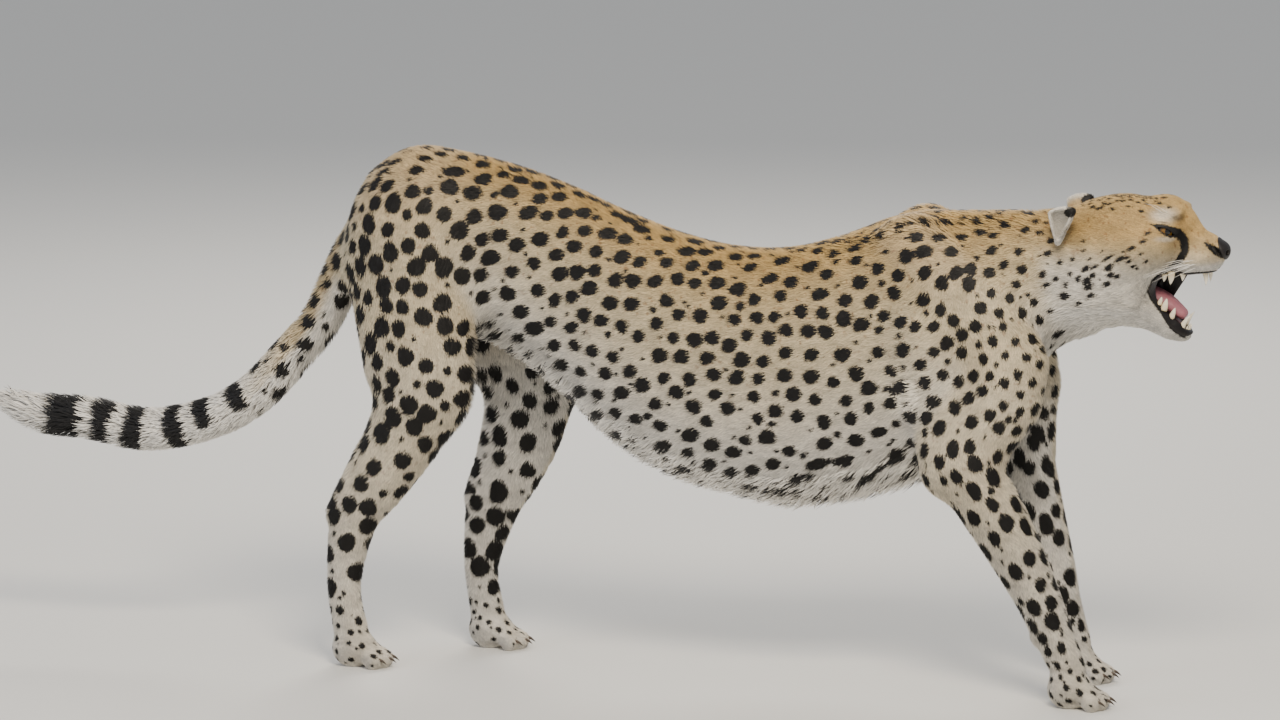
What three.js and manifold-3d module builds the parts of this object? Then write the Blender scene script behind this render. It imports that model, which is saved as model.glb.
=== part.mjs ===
// A life-size cheetah standing in a long yawning stretch, as a still display model.
// Millimetres, +Z up, the animal faces +X with its right side at -Y. The floor is z = 0 and the
// origin lies under the middle of the model's length and width.
//
// The body is one field of blended muscles and lofted trunk sections. Each named part is a grid of
// rings wrapped on that field and parted from its neighbours by flat cuts a hair wide.
import * as THREE from "three";
import { mergeVertices } from "three/addons/utils/BufferGeometryUtils.js";
import Module from "manifold-3d";

// ---------- driving dimensions ----------
const cutGap = 0.6; // width of the parting cut between two neighbours
const floorZ = 0;
const middle = { x: -64.5, y: 1.3 }; // shift that brings the origin under the middle of the box

// Trunk and neck sections: place along x, top and bottom height, half width.
const trunkSections = [
  [-384, 690, 548, 50],
  [-335, 724, 520, 76],
  [-288, 731, 492, 84],
  [-183, 712, 446, 80],
  [-94, 683, 384, 80],
  [-40, 660, 334, 87],
  [52, 627, 284, 97],
  [136, 610, 262, 102],
  [219, 612, 249, 105],
  [301, 635, 260, 104],
  [354, 657, 274, 99],
  [406, 670, 292, 90],
  [470, 673, 326, 82],
  [530, 676, 398, 75],
  [585, 680, 474, 66],
  [650, 686, 512, 60],
];
const trunkPower = 2.25; // 2 is an ellipse, more is boxier

// Every muscle is one row. cone: two ends and their radii, flat is its thickness over its depth.
// ball: centre, three radii, and a turn about the y axis in degrees.
const cone = (a, ra, b, rb, flat = 1, blend = 26) => ({ a, ra, b, rb, flat, blend });
const ball = (c, r, turn = 0, blend = 18) => ({ c, r, turn: (turn * Math.PI) / 180, blend });

// Rows with y >= 0 that stand for both sides.
const bothSides = {
  pelvis: [
    ball([-334, 0, 612], [86, 74, 112], 10, 30),
  ],
  shoulder: [
    cone([432, 72, 500], 60, [464, 88, 352], 43, 0.64, 30),
    ball([456, 90, 320], [28, 22, 27], 0, 16),
    ball([526, 0, 436], [52, 56, 58], 0, 24),
  ],
  head: [
    ball([690, 0, 641], [86, 61, 63], 0, 20),
    ball([746, 0, 657], [38, 43, 48], 0, 18),
    ball([766, 0, 663], [34, 24, 22], 42, 14),
    cone([748, 0, 631], 35, [799, 0, 628], 27, 1.06, 16),
    ball([821, 0, 629], [12, 17, 13.5], 24, 7),
    ball([804, 14, 615], [18, 17, 14], 0, 10),
    ball([784, 22, 616], [24, 18, 18], 0, 12),
    ball([712, 42, 630], [46, 27, 34], 0, 20),
    ball([676, 44, 590], [50, 27, 46], 20, 22),
    ball([757, 26, 680], [18, 15, 9], -25, 12),
  ],
  jaw: [
    cone([640, 0, 572], 62, [698, 0, 563], 44, 0.98, 26),
    cone([694, 20, 560], 27, [752, 6, 525], 20, 1.0, 14),
    ball([765, 0, 518], [19, 20, 15], 35, 10),
  ],
};

// Legs: rows of [x, |y|, z, fore-and-aft radius] from the top joint to the foot, and the toes.
const legs = {
  foreRight: {
    side: -1,
    upper: [[402, 50, 622, 50], [545, 80, 472, 56], [486, 90, 352, 52]],
    bones: [
      [490, 92, 326, 49], [545, 90, 236, 42], [588, 87, 152, 33], [606, 85, 110, 30], [630, 84, 58, 26],
    ],
    flat: 0.82,
    paw: [634, 84],
    top: [506, 90, 386],
  },
  foreLeft: {
    side: 1,
    upper: [[402, 50, 622, 50], [522, 78, 470, 56], [520, 88, 346, 52]],
    bones: [
      [518, 91, 336, 52], [546, 90, 245, 42], [573, 87, 160, 34], [586, 85, 112, 30], [604, 84, 58, 26],
    ],
    flat: 0.82,
    paw: [608, 84],
    top: [520, 88, 395],
  },
  hindRight: {
    side: -1,
    back: [[-366, 30, 560, 54], [-332, 70, 440, 50]],
    upper: [[-318, 52, 616, 86], [-292, 76, 470, 80], [-288, 84, 400, 67]],
    bones: [[-290, 84, 404, 67], [-318, 87, 338, 57], [-362, 87, 264, 45], [-394, 86, 212, 36],
      [-410, 85, 120, 26], [-402, 84, 58, 26]],
    flat: 0.64,
    paw: [-396, 84],
    heel: [-421, 86, 214],
    top: [-300, 76, 496],
  },
  hindLeft: {
    side: 1,
    back: [[-362, 30, 560, 54], [-276, 74, 440, 52]],
    upper: [[-314, 52, 616, 86], [-236, 78, 480, 82], [-186, 88, 396, 68]],
    bones: [[-184, 89, 392, 68], [-197, 91, 322, 61], [-218, 90, 262, 52], [-240, 88, 210, 42],
      [-258, 86, 120, 27], [-250, 85, 58, 26]],
    flat: 0.64,
    paw: [-244, 84],
    heel: [-266, 88, 214],
    top: [-246, 78, 478],
  },
};
const conesPerRow = 3;
const toe = { length: 44, radius: 12.5, spread: 15, height: 10.5, palm: 29 };

// Tail: points along its middle and the radius there, out to the tips of the hair.
const tailRow = [
  [-380, 0, 620, 36],
  [-414, 0, 584, 33],
  [-438, 0, 540, 32],
  [-470, 1, 474, 32],
  [-516, 2, 420, 32],
  [-572, 3, 363, 32],
  [-640, 3, 326, 32],
  [-732, 2, 307, 33],
  [-817, 0, 320, 33],
  [-890, -2, 324, 31],
  [-945, -4, 342, 19],
];

const eye = { at: [746, 32, 659], radius: 16.5 };
const ear = {
  at: [613, 63, 664],
  size: [33, 13, 28],
  turn: -24,
  hollow: 9,
  edges: [[597.5, 660, -0.962, -0.272], [636, 692, 0.907, -0.421]], // x, z and outward normal, rear and front
};
const mouth = [[735, 577], [739, 586], [747, 592], [760, 596], [776, 600], [792, 603], [880, 606],
  [880, 520], [783, 520], [771, 528], [758, 541], [746, 554], [738, 567]];

// ---------- the field: under 0 inside the animal ----------
const clamp = (v, lo, hi) => Math.min(hi, Math.max(lo, v));

function blend(a, b, k) {
  const h = Math.max(k - Math.abs(a - b), 0) / k;
  return Math.min(a, b) - (h * h * k) / 4;
}

function coneField(m, x, y, z) {
  const [ax, ay, az] = m.a;
  const [bx, by, bz] = [m.b[0] - ax, m.b[1] - ay, m.b[2] - az];
  const t = clamp(((x - ax) * bx + (y - ay) * by + (z - az) * bz) / (bx * bx + by * by + bz * bz), 0, 1);
  const side = (y - ay - t * by) / m.flat;
  return Math.hypot(x - ax - t * bx, side, z - az - t * bz) - (m.ra + t * (m.rb - m.ra));
}

function ballField(m, x, y, z) {
  const [dx, dy, dz] = [x - m.c[0], y - m.c[1], z - m.c[2]];
  const [c, s] = [Math.cos(m.turn), Math.sin(m.turn)];
  const p = [(c * dx - s * dz) / m.r[0], dy / m.r[1], (s * dx + c * dz) / m.r[2]];
  const k0 = Math.hypot(...p);
  const k1 = Math.hypot(p[0] / m.r[0], p[1] / m.r[1], p[2] / m.r[2]);
  return k1 < 1e-9 ? -Math.min(...m.r) : (k0 * (k0 - 1)) / k1;
}

// One point of a curve that runs from p1 to p2, with the slopes m1 and m2 there.
const cubic = (p1, p2, m1, m2, t) =>
  (2 * t ** 3 - 3 * t ** 2 + 1) * p1 + (t ** 3 - 2 * t ** 2 + t) * m1 +
  (3 * t ** 2 - 2 * t ** 3) * p2 + (t ** 3 - t ** 2) * m2;

function muscleField(m, x, y, z) {
  if (m.cones) return m.cones.reduce((d, part) => Math.min(d, coneField(part, x, y, z)), Infinity);
  return m.a ? coneField(m, x, y, z) : ballField(m, x, y, z);
}

// One row of the section table at x, by a cubic through its neighbours.
function sectionAt(x) {
  const rows = trunkSections;
  const last = rows.length - 1;
  const px = clamp(x, rows[0][0], rows[last][0]);
  let i = 0;
  while (i < last - 1 && px > rows[i + 1][0]) i++;
  const [p0, p1, p2, p3] = [rows[Math.max(i - 1, 0)], rows[i], rows[i + 1], rows[Math.min(i + 2, last)]];
  const t = (px - p1[0]) / (p2[0] - p1[0]);
  return [1, 2, 3].map((k) => {
    const m1 = ((p2[k] - p0[k]) / (p2[0] - p0[0])) * (p2[0] - p1[0]);
    const m2 = ((p3[k] - p1[k]) / (p3[0] - p1[0])) * (p2[0] - p1[0]);
    return cubic(p1[k], p2[k], m1, m2, t);
  });
}

function trunkField(x, y, z) {
  const [top, bottom, width] = sectionAt(x);
  const [mid, half] = [(top + bottom) / 2, (top - bottom) / 2];
  const up = clamp((z - mid) / half, -1, 1);
  const wide = width * (1 - 0.1 * up);
  const n = trunkPower;
  const rho = Math.pow(Math.pow(Math.abs(y) / wide, n) + Math.pow(Math.abs(z - mid) / half, n), 1 / n);
  const reach = Math.hypot(y, z - mid) / Math.max(rho, 1e-6);
  const around = (rho - 1) * (rho > 1e-6 ? reach : half);
  const past = Math.max(trunkSections[0][0] - x, x - trunkSections.at(-1)[0], 0);
  return past > 0 ? Math.hypot(Math.max(around, 0), past) : around;
}

// A chain of cones along a smooth curve through rows of [x, y, z, radius].
function chain(rows, side, flat, k) {
  const row = (i) => rows[clamp(i, 0, rows.length - 1)];
  const points = [];
  for (let i = 0; i < rows.length - 1; i++) {
    for (let j = 0; j < conesPerRow; j++) {
      points.push([0, 1, 2, 3].map((n) => {
        const m1 = (row(i + 1)[n] - row(i - 1)[n]) / 2;
        const m2 = (row(i + 2)[n] - row(i)[n]) / 2;
        return cubic(row(i)[n], row(i + 1)[n], m1, m2, j / conesPerRow);
      }));
    }
  }
  points.push(rows.at(-1));
  const placed = points.map(([x, y, z, r]) => ({ at: [x, side * y, z], r }));
  const cones = placed.slice(1).map((q, i) => cone(placed[i].at, placed[i].r, q.at, q.r, flat, 0));
  return { cones, blend: k };
}

function legMuscles(leg) {
  const made = [
    chain(leg.upper, leg.side, 0.58, 34),
    chain(leg.bones, leg.side, leg.flat, 26),
  ];
  if (leg.back) made.push(chain(leg.back, leg.side, 0.8, 34));
  if (leg.heel) {
    const [hx, hy, hz] = leg.heel;
    made.push(cone([hx + 52, leg.side * hy, hz + 92], 20, [hx + 2, leg.side * hy, hz + 4], 17, 0.7, 16));
  } else {
    const [wx, wy, wz] = leg.bones.at(-2);
    made.push(ball([wx - 17, leg.side * wy, wz - 14], [11, 12, 13], 0, 10));
  }
  const [px, py] = leg.paw;
  made.push(ball([px, leg.side * py, 25], [32, toe.palm, 29], 0, 14));
  for (const row of [-1.5, -0.5, 0.5, 1.5]) {
    const reach = Math.abs(row) < 1 ? toe.length : toe.length - 10;
    const y = leg.side * py + row * toe.spread;
    const knuckle = [px + 12, y * 0.2 + leg.side * py * 0.8, 24];
    made.push(cone(knuckle, 15, [px + reach, y, toe.height], toe.radius, 0.92, 8));
  }
  return made;
}

const mirrored = Object.values(bothSides).flat();
const limbBlend = 38; // how softly the limbs run into the trunk
const limbs = Object.values(legs).map(legMuscles);
const tail = chain(tailRow, 1, 1, 20);

// The mouth's outline, as the distance from its polygon in the x-z plane.
function mouthField(x, z) {
  let nearest = Infinity;
  let inside = false;
  mouth.forEach(([ax, az], i) => {
    const [bx, bz] = mouth[(i + 1) % mouth.length];
    const t = clamp(((x - ax) * (bx - ax) + (z - az) * (bz - az)) / ((bx - ax) ** 2 + (bz - az) ** 2), 0, 1);
    nearest = Math.min(nearest, Math.hypot(x - ax - t * (bx - ax), z - az - t * (bz - az)));
    if (az > z !== bz > z && x < ((bx - ax) * (z - az)) / (bz - az) + ax) inside = !inside;
  });
  return inside ? -nearest : nearest;
}

function throatField(x, y, z) {
  return ballField({ c: [722, 0, 572], r: [34, 25, 17], turn: 0.5 }, x, y, z);
}

function body(x, y, z) {
  let d = trunkField(x, y, z);
  const ay = Math.abs(y);
  for (const m of mirrored) {
    d = blend(d, muscleField(m, x, ay, z), m.blend);
  }
  d = blend(d, muscleField(tail, x, y, z), tail.blend);
  let leg = Infinity;
  for (const limb of limbs) {
    let one = Infinity;
    for (const m of limb) {
      one = one === Infinity ? muscleField(m, x, y, z) : blend(one, muscleField(m, x, y, z), m.blend);
    }
    leg = Math.min(leg, one);
  }
  d = blend(d, leg, limbBlend);
  d = Math.max(d, -mouthField(x, z), -throatField(x, y, z));
  return Math.max(d, floorZ - z);
}

// ---------- parts wrapped on the field ----------
const planeField = ({ at, to }, x, y, z) =>
  (x - at[0]) * to[0] + (y - at[1]) * to[1] + (z - at[2]) * to[2] + cutGap / 2;
const plane = (at, to) => {
  const n = new THREE.Vector3(...to).normalize();
  return { at, to: [n.x, n.y, n.z] };
};
const flip = (p) => ({ at: p.at, to: p.to.map((v) => -v) });

// Rings of points round a path, each pushed out to where the field, kept behind the planes, ends.
function wrap({ path, rings, sides, planes = [], field = body, up = [0, 0, 1], curve = 0.5 }) {
  const stops = path.map((p) => new THREE.Vector3(...p));
  const line = new THREE.CatmullRomCurve3(stops, false, "catmullrom", curve);
  const behind = (q, p) => planeField(q, p.x, p.y, p.z);
  const inside = (p) => planes.reduce((d, q) => Math.max(d, behind(q, p)), field(p.x, p.y, p.z));
  const push = (from, dir) => {
    const step = 3;
    let far = 0;
    const p = new THREE.Vector3();
    const at = (t) => inside(p.copy(from).addScaledVector(dir, t));
    while (at(far + step) < 0 && far < 600) far += step;
    let [lo, hi] = [far, far + step];
    for (let i = 0; i < 14; i++) {
      const t = (lo + hi) / 2;
      if (at(t) < 0) lo = t;
      else hi = t;
    }
    return from.clone().addScaledVector(dir, lo);
  };
  const ends = [line.getPointAt(0), line.getPointAt(1)];
  const out = [line.getTangentAt(0).negate(), line.getTangentAt(1)];
  const poles = ends.map((p, i) => push(p, out[i]));
  const points = [poles[0]];
  for (let i = 0; i < rings; i++) {
    const t = (i + 0.5) / rings;
    const c = line.getPointAt(t);
    const along = line.getTangentAt(t);
    const u = new THREE.Vector3().crossVectors(new THREE.Vector3(...up), along).normalize();
    const v = new THREE.Vector3().crossVectors(along, u);
    // The first and last rings lean out towards the poles, so that the ends close roundly.
    const lean = i === 0 ? -1 : i === rings - 1 ? 1 : 0;
    for (let j = 0; j < sides; j++) {
      const a = (2 * Math.PI * j) / sides;
      const dir = u.clone().multiplyScalar(Math.cos(a)).addScaledVector(v, Math.sin(a));
      dir.addScaledVector(along, lean * 0.35).normalize();
      points.push(push(c, dir));
    }
  }
  points.push(poles[1]);
  const faces = [];
  const id = (i, j) => 1 + i * sides + (j % sides);
  for (let j = 0; j < sides; j++) {
    faces.push(0, id(0, j + 1), id(0, j));
    faces.push(points.length - 1, id(rings - 1, j), id(rings - 1, j + 1));
    for (let i = 0; i < rings - 1; i++) {
      faces.push(id(i, j), id(i, j + 1), id(i + 1, j + 1), id(i, j), id(i + 1, j + 1), id(i + 1, j));
    }
  }
  const g = new THREE.BufferGeometry().setFromPoints(points);
  g.setIndex(faces);
  return g;
}

// ---------- solids, cuts and gaps ----------
const wasm = await Module();
wasm.setup();

function solid(geometry) {
  const bare = new THREE.BufferGeometry();
  bare.setAttribute("position", geometry.getAttribute("position"));
  bare.setIndex(geometry.index);
  const merged = mergeVertices(bare, 1e-4);
  return new wasm.Manifold(new wasm.Mesh({
    numProp: 3,
    vertProperties: merged.attributes.position.array,
    triVerts: new Uint32Array(merged.index.array),
  }));
}

function geometryOf(made) {
  const m = made.getMesh();
  const g = new THREE.BufferGeometry();
  g.setAttribute("position", new THREE.BufferAttribute(new Float32Array(m.vertProperties), 3));
  g.setIndex([...m.triVerts]);
  return g;
}

// A block that fills the near side of a plane, kept back from it by a distance.
const blockSize = 3000;
function halfSpace(p, back = cutGap / 2) {
  const g = new THREE.BoxGeometry(blockSize, blockSize, blockSize);
  const n = new THREE.Vector3(...p.to);
  g.translate(0, 0, -blockSize / 2 - back);
  g.applyQuaternion(new THREE.Quaternion().setFromUnitVectors(new THREE.Vector3(0, 0, 1), n));
  g.translate(...p.at);
  return solid(g);
}
const keep = (made, planes) => planes.reduce((m, p) => m.intersect(halfSpace(p)), made);
const region = (planes) => planes.slice(1).reduce((m, p) => m.intersect(halfSpace(p, -cutGap / 2)),
  halfSpace(planes[0], -cutGap / 2));
const regionField = (planes, x, y, z) =>
  planes.reduce((d, p) => Math.max(d, planeField(p, x, y, z)), -Infinity);

// A cut seen from the side, through two points of the x-z plane. Listed downwards, its near side is
// ahead; listed forwards, its near side is above.
const sideCut = (a, b) => plane([a[0], 0, a[1]], [b[1] - a[1], 0, a[0] - b[0]]);
const cuts = {
  neckFront: sideCut([575, 700], [645, 490]),
  neckBack: sideCut([425, 700], [625, 455]),
  loinFront: sideCut([190, 700], [190, 200]),
  loinBack: sideCut([-140, 740], [-60, 380]),
  tailRoot: sideCut([-446, 616], [-390, 500]),
  elbow: sideCut([405, 292], [610, 421]),
  thighTop: sideCut([-470, 520], [-90, 400]),
  jawHinge: sideCut([637, 540], [724, 574]),
  jawTop: sideCut([600, 579], [900, 579]),
  noseBack: sideCut([811, 660], [829, 612]),
  noseUnder: sideCut([800, 621], [900, 621]),
};
const half = (side) => plane([0, 0, 0], [0, -side, 0]);
const jaw = [flip(cuts.jawHinge), flip(cuts.jawTop), cuts.neckFront];
const legRegions = Object.fromEntries(Object.entries(legs).map(([name, leg]) => [name, leg.heel
  ? [flip(cuts.thighTop), flip(cuts.loinBack), half(leg.side)]
  : [flip(cuts.elbow), half(leg.side)]]));

// ---------- building and naming the nodes ----------
const group = new THREE.Group();
const solids = {};

function add(name, made, color, roughness = 0.9) {
  solids[name] = made;
  const g = geometryOf(made);
  g.translate(-middle.x, -middle.y, 0);
  const mesh = new THREE.Mesh(g, new THREE.MeshStandardMaterial({ color, roughness, metalness: 0 }));
  mesh.name = name;
  group.add(mesh);
}

const tan = 0xcdb48c;
const cream = 0xe2d6c2;
const black = 0x1c1815;
const ivory = 0xefe7d2;
const flesh = 0xb9686b;
const amber = 0xc98a2b;

// A field that ends a little way inside the regions given up to other parts.
const stopDepth = 40;
const without = (regions) => (x, y, z) =>
  regions.reduce((d, planes) => Math.max(d, -regionField(planes, x, y, z) - stopDepth), body(x, y, z));

// Planes moved outwards, so that a grid overshoots its cut before it is trimmed flat.
const beyond = (planes, depth = stopDepth) =>
  planes.map(({ at, to }) => ({ at: at.map((v, i) => v + to[i] * depth), to }));

// ---------- trunk and neck ----------
function makeTorso() {
  const regions = Object.values(legRegions);
  const whole = solid(wrap({
    path: [[-392, 0, 640], [-300, 0, 610], [-180, 0, 580], [-40, 0, 500], [136, 0, 436], [301, 0, 450],
      [440, 0, 500], [560, 0, 560], [640, 0, 600]],
    rings: 35,
    sides: 20,
    field: without(regions),
    planes: beyond([flip(cuts.neckFront), cuts.tailRoot]),
  }));
  const trunk = regions.reduce((m, planes) => m.subtract(region(planes)), whole);
  add("neck", keep(trunk, [flip(cuts.neckFront), cuts.neckBack]), tan);
  add("chest", keep(trunk, [flip(cuts.neckBack), cuts.loinFront]), tan);
  add("loin", keep(trunk, [flip(cuts.loinFront), cuts.loinBack]), tan);
  add("rump", keep(trunk, [flip(cuts.loinBack), cuts.tailRoot]), tan);
}

// ---------- tail ----------
const tailRootFillet = 12;

function makeTail() {
  const points = tailRow.map((p) => p.slice(0, 3));
  const whole = solid(wrap({
    path: [[-408, 0, 590], [-428, 0, 560], ...points.slice(3)],
    rings: 26,
    sides: 10,
    up: [0, 1, 0],
    field: (x, y, z) => Math.max(body(x, y, z), muscleField(tail, x, y, z) - tailRootFillet),
    planes: beyond([flip(cuts.tailRoot)], 15),
  }));
  const across = (i) => plane(points[i], points[i + 1].map((v, k) => v - points[i - 1][k]));
  const joints = [4, 7, 9].map(across);
  add("tail_base", keep(whole, [flip(cuts.tailRoot), joints[0]]), tan);
  add("tail_middle", keep(whole, [flip(joints[0]), joints[1]]), cream);
  add("tail_end", keep(whole, [flip(joints[1]), joints[2]]), cream);
  add("tail_tip", keep(whole, [flip(joints[2])]), black);
}

// ---------- legs ----------
const level = (z) => plane([0, 0, z], [0, 0, 1]);
const pawHeight = 60;

// The plane square to a leg's bones at one of its rows, facing down the leg.
function acrossLeg(leg, i) {
  const [p, q] = [leg.bones[i - 1], leg.bones[i + 1]];
  const [x, y, z] = leg.bones[i];
  return plane([x, y * leg.side, z], [q[0] - p[0], (q[1] - p[1]) * leg.side, q[2] - p[2]]);
}

function makePaw(name, leg) {
  const [px, py] = leg.paw;
  const y = py * leg.side;
  const [hx, , hz] = leg.bones.at(-1);
  add(name, keep(solid(wrap({
    path: [[hx - 22, y, 26], [hx, y, 24], [px + 20, y, 18], [px + toe.length + 8, y, 13]],
    rings: 10,
    sides: 17,
    planes: beyond([level(pawHeight)]),
  })), [level(pawHeight), half(leg.side)]), cream);
}

function makeForeleg(side, leg) {
  const rows = [leg.top, ...leg.bones].map(([x, y, z]) => [x, y * leg.side, z]);
  const planes = legRegions[leg.key];
  const whole = solid(wrap({
    path: rows,
    rings: 17,
    sides: 12,
    up: [1, 0, 0],
    planes: beyond(planes),
  }));
  add(`foreleg_${side}`, keep(whole, [...planes, flip(level(pawHeight))]), tan);
  makePaw(`forepaw_${side}`, leg);
}

function makeHindleg(side, leg) {
  const rows = [leg.top, ...leg.bones].map(([x, y, z]) => [x, y * leg.side, z]);
  const planes = legRegions[leg.key];
  const whole = solid(wrap({
    path: rows,
    rings: 24,
    sides: 13,
    up: [1, 0, 0],
    planes: beyond(planes),
  }));
  const knee = acrossLeg(leg, 1);
  const hock = acrossLeg(leg, 3);
  add(`thigh_${side}`, keep(whole, [...planes, knee]), tan);
  add(`shank_${side}`, keep(whole, [flip(knee), hock]), tan);
  add(`hock_${side}`, keep(whole, [flip(hock), flip(level(pawHeight))]), cream);
  makePaw(`hindpaw_${side}`, leg);
}

// ---------- head ----------
// A curved tooth: a cone from its root to its tip.
function tooth(root, tip, radius) {
  const way = new THREE.Vector3(...tip).sub(new THREE.Vector3(...root));
  const g = new THREE.ConeGeometry(radius, way.length(), 6);
  g.translate(0, way.length() / 2, 0);
  g.applyQuaternion(new THREE.Quaternion().setFromUnitVectors(new THREE.Vector3(0, 1, 0), way.normalize()));
  g.translate(...root);
  return solid(g);
}
const pair = (make) => make(1).add(make(-1));
const upperTeeth = () => [
  pair((s) => tooth([799, s * 18, 610], [803, s * 18, 584], 5.2)),
  pair((s) => tooth([810, s * 5, 610], [811, s * 5, 601], 3.2)),
  pair((s) => tooth([772, s * 25, 606], [772, s * 24, 590], 5.4)),
  pair((s) => tooth([757, s * 29, 603], [756, s * 28, 584], 6.2)),
];
const lowerTeeth = () => [
  pair((s) => tooth([769, s * 15, 519], [784, s * 16, 540], 5.0)),
  pair((s) => tooth([776, s * 5, 514], [782, s * 5, 527], 3.4)),
  pair((s) => tooth([755, s * 21, 538], [761, s * 21, 553], 5.4)),
  pair((s) => tooth([746, s * 24, 547], [751, s * 24, 564], 6.0)),
];
const join = (made, extras) => extras.reduce((m, e) => m.add(e), made);

const ball3 = (center, radius) => {
  const g = new THREE.SphereGeometry(radius, 9, 8);
  g.translate(...center);
  return solid(g);
};

function makeHead() {
  const face = solid(wrap({
    path: [[596, 0, 618], [650, 0, 634], [700, 0, 640], [770, 0, 632], [818, 0, 628]],
    rings: 20,
    sides: 21,
    planes: beyond([cuts.neckFront, cuts.jawHinge]),
  }));
  const nose = keep(face, [cuts.noseBack, cuts.noseUnder]);
  const muzzle = face.subtract(region([cuts.noseBack, cuts.noseUnder]));
  let head = join(keep(muzzle, [cuts.neckFront]).subtract(region(jaw)), upperTeeth());
  for (const [side, name] of [[-1, "right"], [1, "left"]]) {
    const at = [eye.at[0], eye.at[1] * side, eye.at[2]];
    head = head.subtract(ball3(at, eye.radius + cutGap));
    add(`eye_${name}`, ball3(at, eye.radius), amber, 0.2);
  }
  add("head", head, tan);
  add("nose", nose, black, 0.5);
  add("lower_jaw", join(keep(solid(wrap({
    path: [[628, 0, 528], [700, 0, 532], [740, 0, 528], [766, 0, 516]],
    rings: 11,
    sides: 15,
    planes: beyond(jaw),
  })), jaw), lowerTeeth()), cream);
}

// A solid cut back from its neighbours, with a gap on the side that the shift points to.
const standOff = (made, neighbours, shift) =>
  neighbours.reduce((m, other) => m.subtract(other).subtract(other.translate(shift)), made);

function makeTongue() {
  const rest = cone([712, 0, 568], 13, [767, 0, 540], 9, 1.5);
  const room = (x, y, z) =>
    Math.max(coneField(rest, x, y, z), cutGap + Math.min(mouthField(x, z), throatField(x, y, z)));
  const made = solid(wrap({
    path: [[716, 0, 569], [738, 0, 564], [766, 0, 543]],
    rings: 6,
    sides: 8,
    field: room,
  }));
  add("tongue", standOff(made, [solids.head, solids.lower_jaw], [cutGap, 0, cutGap]), flesh, 0.5);
}

function makeEar(side, name) {
  const [cx, cy, cz] = [ear.at[0], ear.at[1] * side, ear.at[2]];
  const turn = (ear.turn * Math.PI) / 180;
  const shell = { c: [cx, cy, cz], r: ear.size, turn };
  const cup = { c: [cx + ear.hollow, cy + side * 8, cz + 3], r: ear.size.map((v) => v * 0.74), turn };
  const edges = ear.edges.map(([x, z, nx, nz]) => (px, pz) => (px - x) * nx + (pz - z) * nz);
  const field = (x, y, z) =>
    Math.max(ballField(shell, x, y, z), -ballField(cup, x, y, z), ...edges.map((edge) => edge(x, z)));
  const made = solid(wrap({
    path: [[cx + 3, cy - 4 * side, cz + 20], [cx, cy - 8 * side, cz + 2], [cx - 5, cy - 7 * side, cz - 19]],
    rings: 8,
    sides: 10,
    field,
    up: [1, 0, 0],
  }));
  add(`ear_${name}`, standOff(made, [solids.head, solids.neck], [-cutGap, side * cutGap, cutGap]), cream);
}

makeTorso();
makeTail();
Object.entries(legs).forEach(([key, leg]) => (leg.key = key));
makeForeleg("right", legs.foreRight);
makeForeleg("left", legs.foreLeft);
makeHindleg("right", legs.hindRight);
makeHindleg("left", legs.hindLeft);
makeHead();
makeTongue();
makeEar(-1, "right");
makeEar(1, "left");

export default group;
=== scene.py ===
import bmesh
import bpy
import math
import numpy as np
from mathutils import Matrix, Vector
from mathutils.kdtree import KDTree


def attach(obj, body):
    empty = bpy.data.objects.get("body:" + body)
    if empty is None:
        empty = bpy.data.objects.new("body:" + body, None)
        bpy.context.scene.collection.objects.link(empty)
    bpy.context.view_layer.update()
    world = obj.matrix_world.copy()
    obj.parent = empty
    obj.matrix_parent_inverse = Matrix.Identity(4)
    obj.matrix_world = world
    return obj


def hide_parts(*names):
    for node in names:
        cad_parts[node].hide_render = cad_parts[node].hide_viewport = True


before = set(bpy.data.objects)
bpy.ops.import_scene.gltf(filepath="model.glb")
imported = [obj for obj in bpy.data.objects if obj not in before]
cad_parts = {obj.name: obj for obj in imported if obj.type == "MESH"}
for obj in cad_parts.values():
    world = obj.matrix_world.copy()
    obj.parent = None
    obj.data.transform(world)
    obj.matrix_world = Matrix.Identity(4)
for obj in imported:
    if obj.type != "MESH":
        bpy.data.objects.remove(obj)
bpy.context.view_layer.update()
random = np.random.default_rng(7)

# The animal faces +X with its right side at -Y. Shape tables are in millimetres, before the shift that
# puts the row's origin under the middle of the model; meshes are in metres.
middle = np.array([-64.5, 1.3, 0.0])


# The body's shape is made of the same trunk sections and muscles as the solids.
trunkSections = np.array([  # along, top, bottom, half width
    [-384, 690, 548, 50], [-335, 724, 520, 76], [-288, 731, 492, 84], [-183, 712, 446, 80],
    [-94, 683, 384, 80], [-40, 660, 334, 87], [52, 627, 284, 97], [136, 610, 262, 102],
    [219, 612, 249, 105], [301, 635, 260, 104], [354, 657, 274, 99], [406, 670, 292, 90],
    [470, 673, 326, 82],
    [530, 676, 398, 75], [585, 680, 474, 66], [650, 686, 512, 60]], float)
trunkPower = 2.25


def cone(a, ra, b, rb, flat=1.0, blend=26.0):
    return dict(a=np.array(a, float), ra=ra, b=np.array(b, float), rb=rb, flat=flat, blend=blend)


def ball(c, r, turn=0.0, blend=18.0):
    return dict(c=np.array(c, float), r=np.array(r, float), turn=math.radians(turn), blend=blend)


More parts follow.
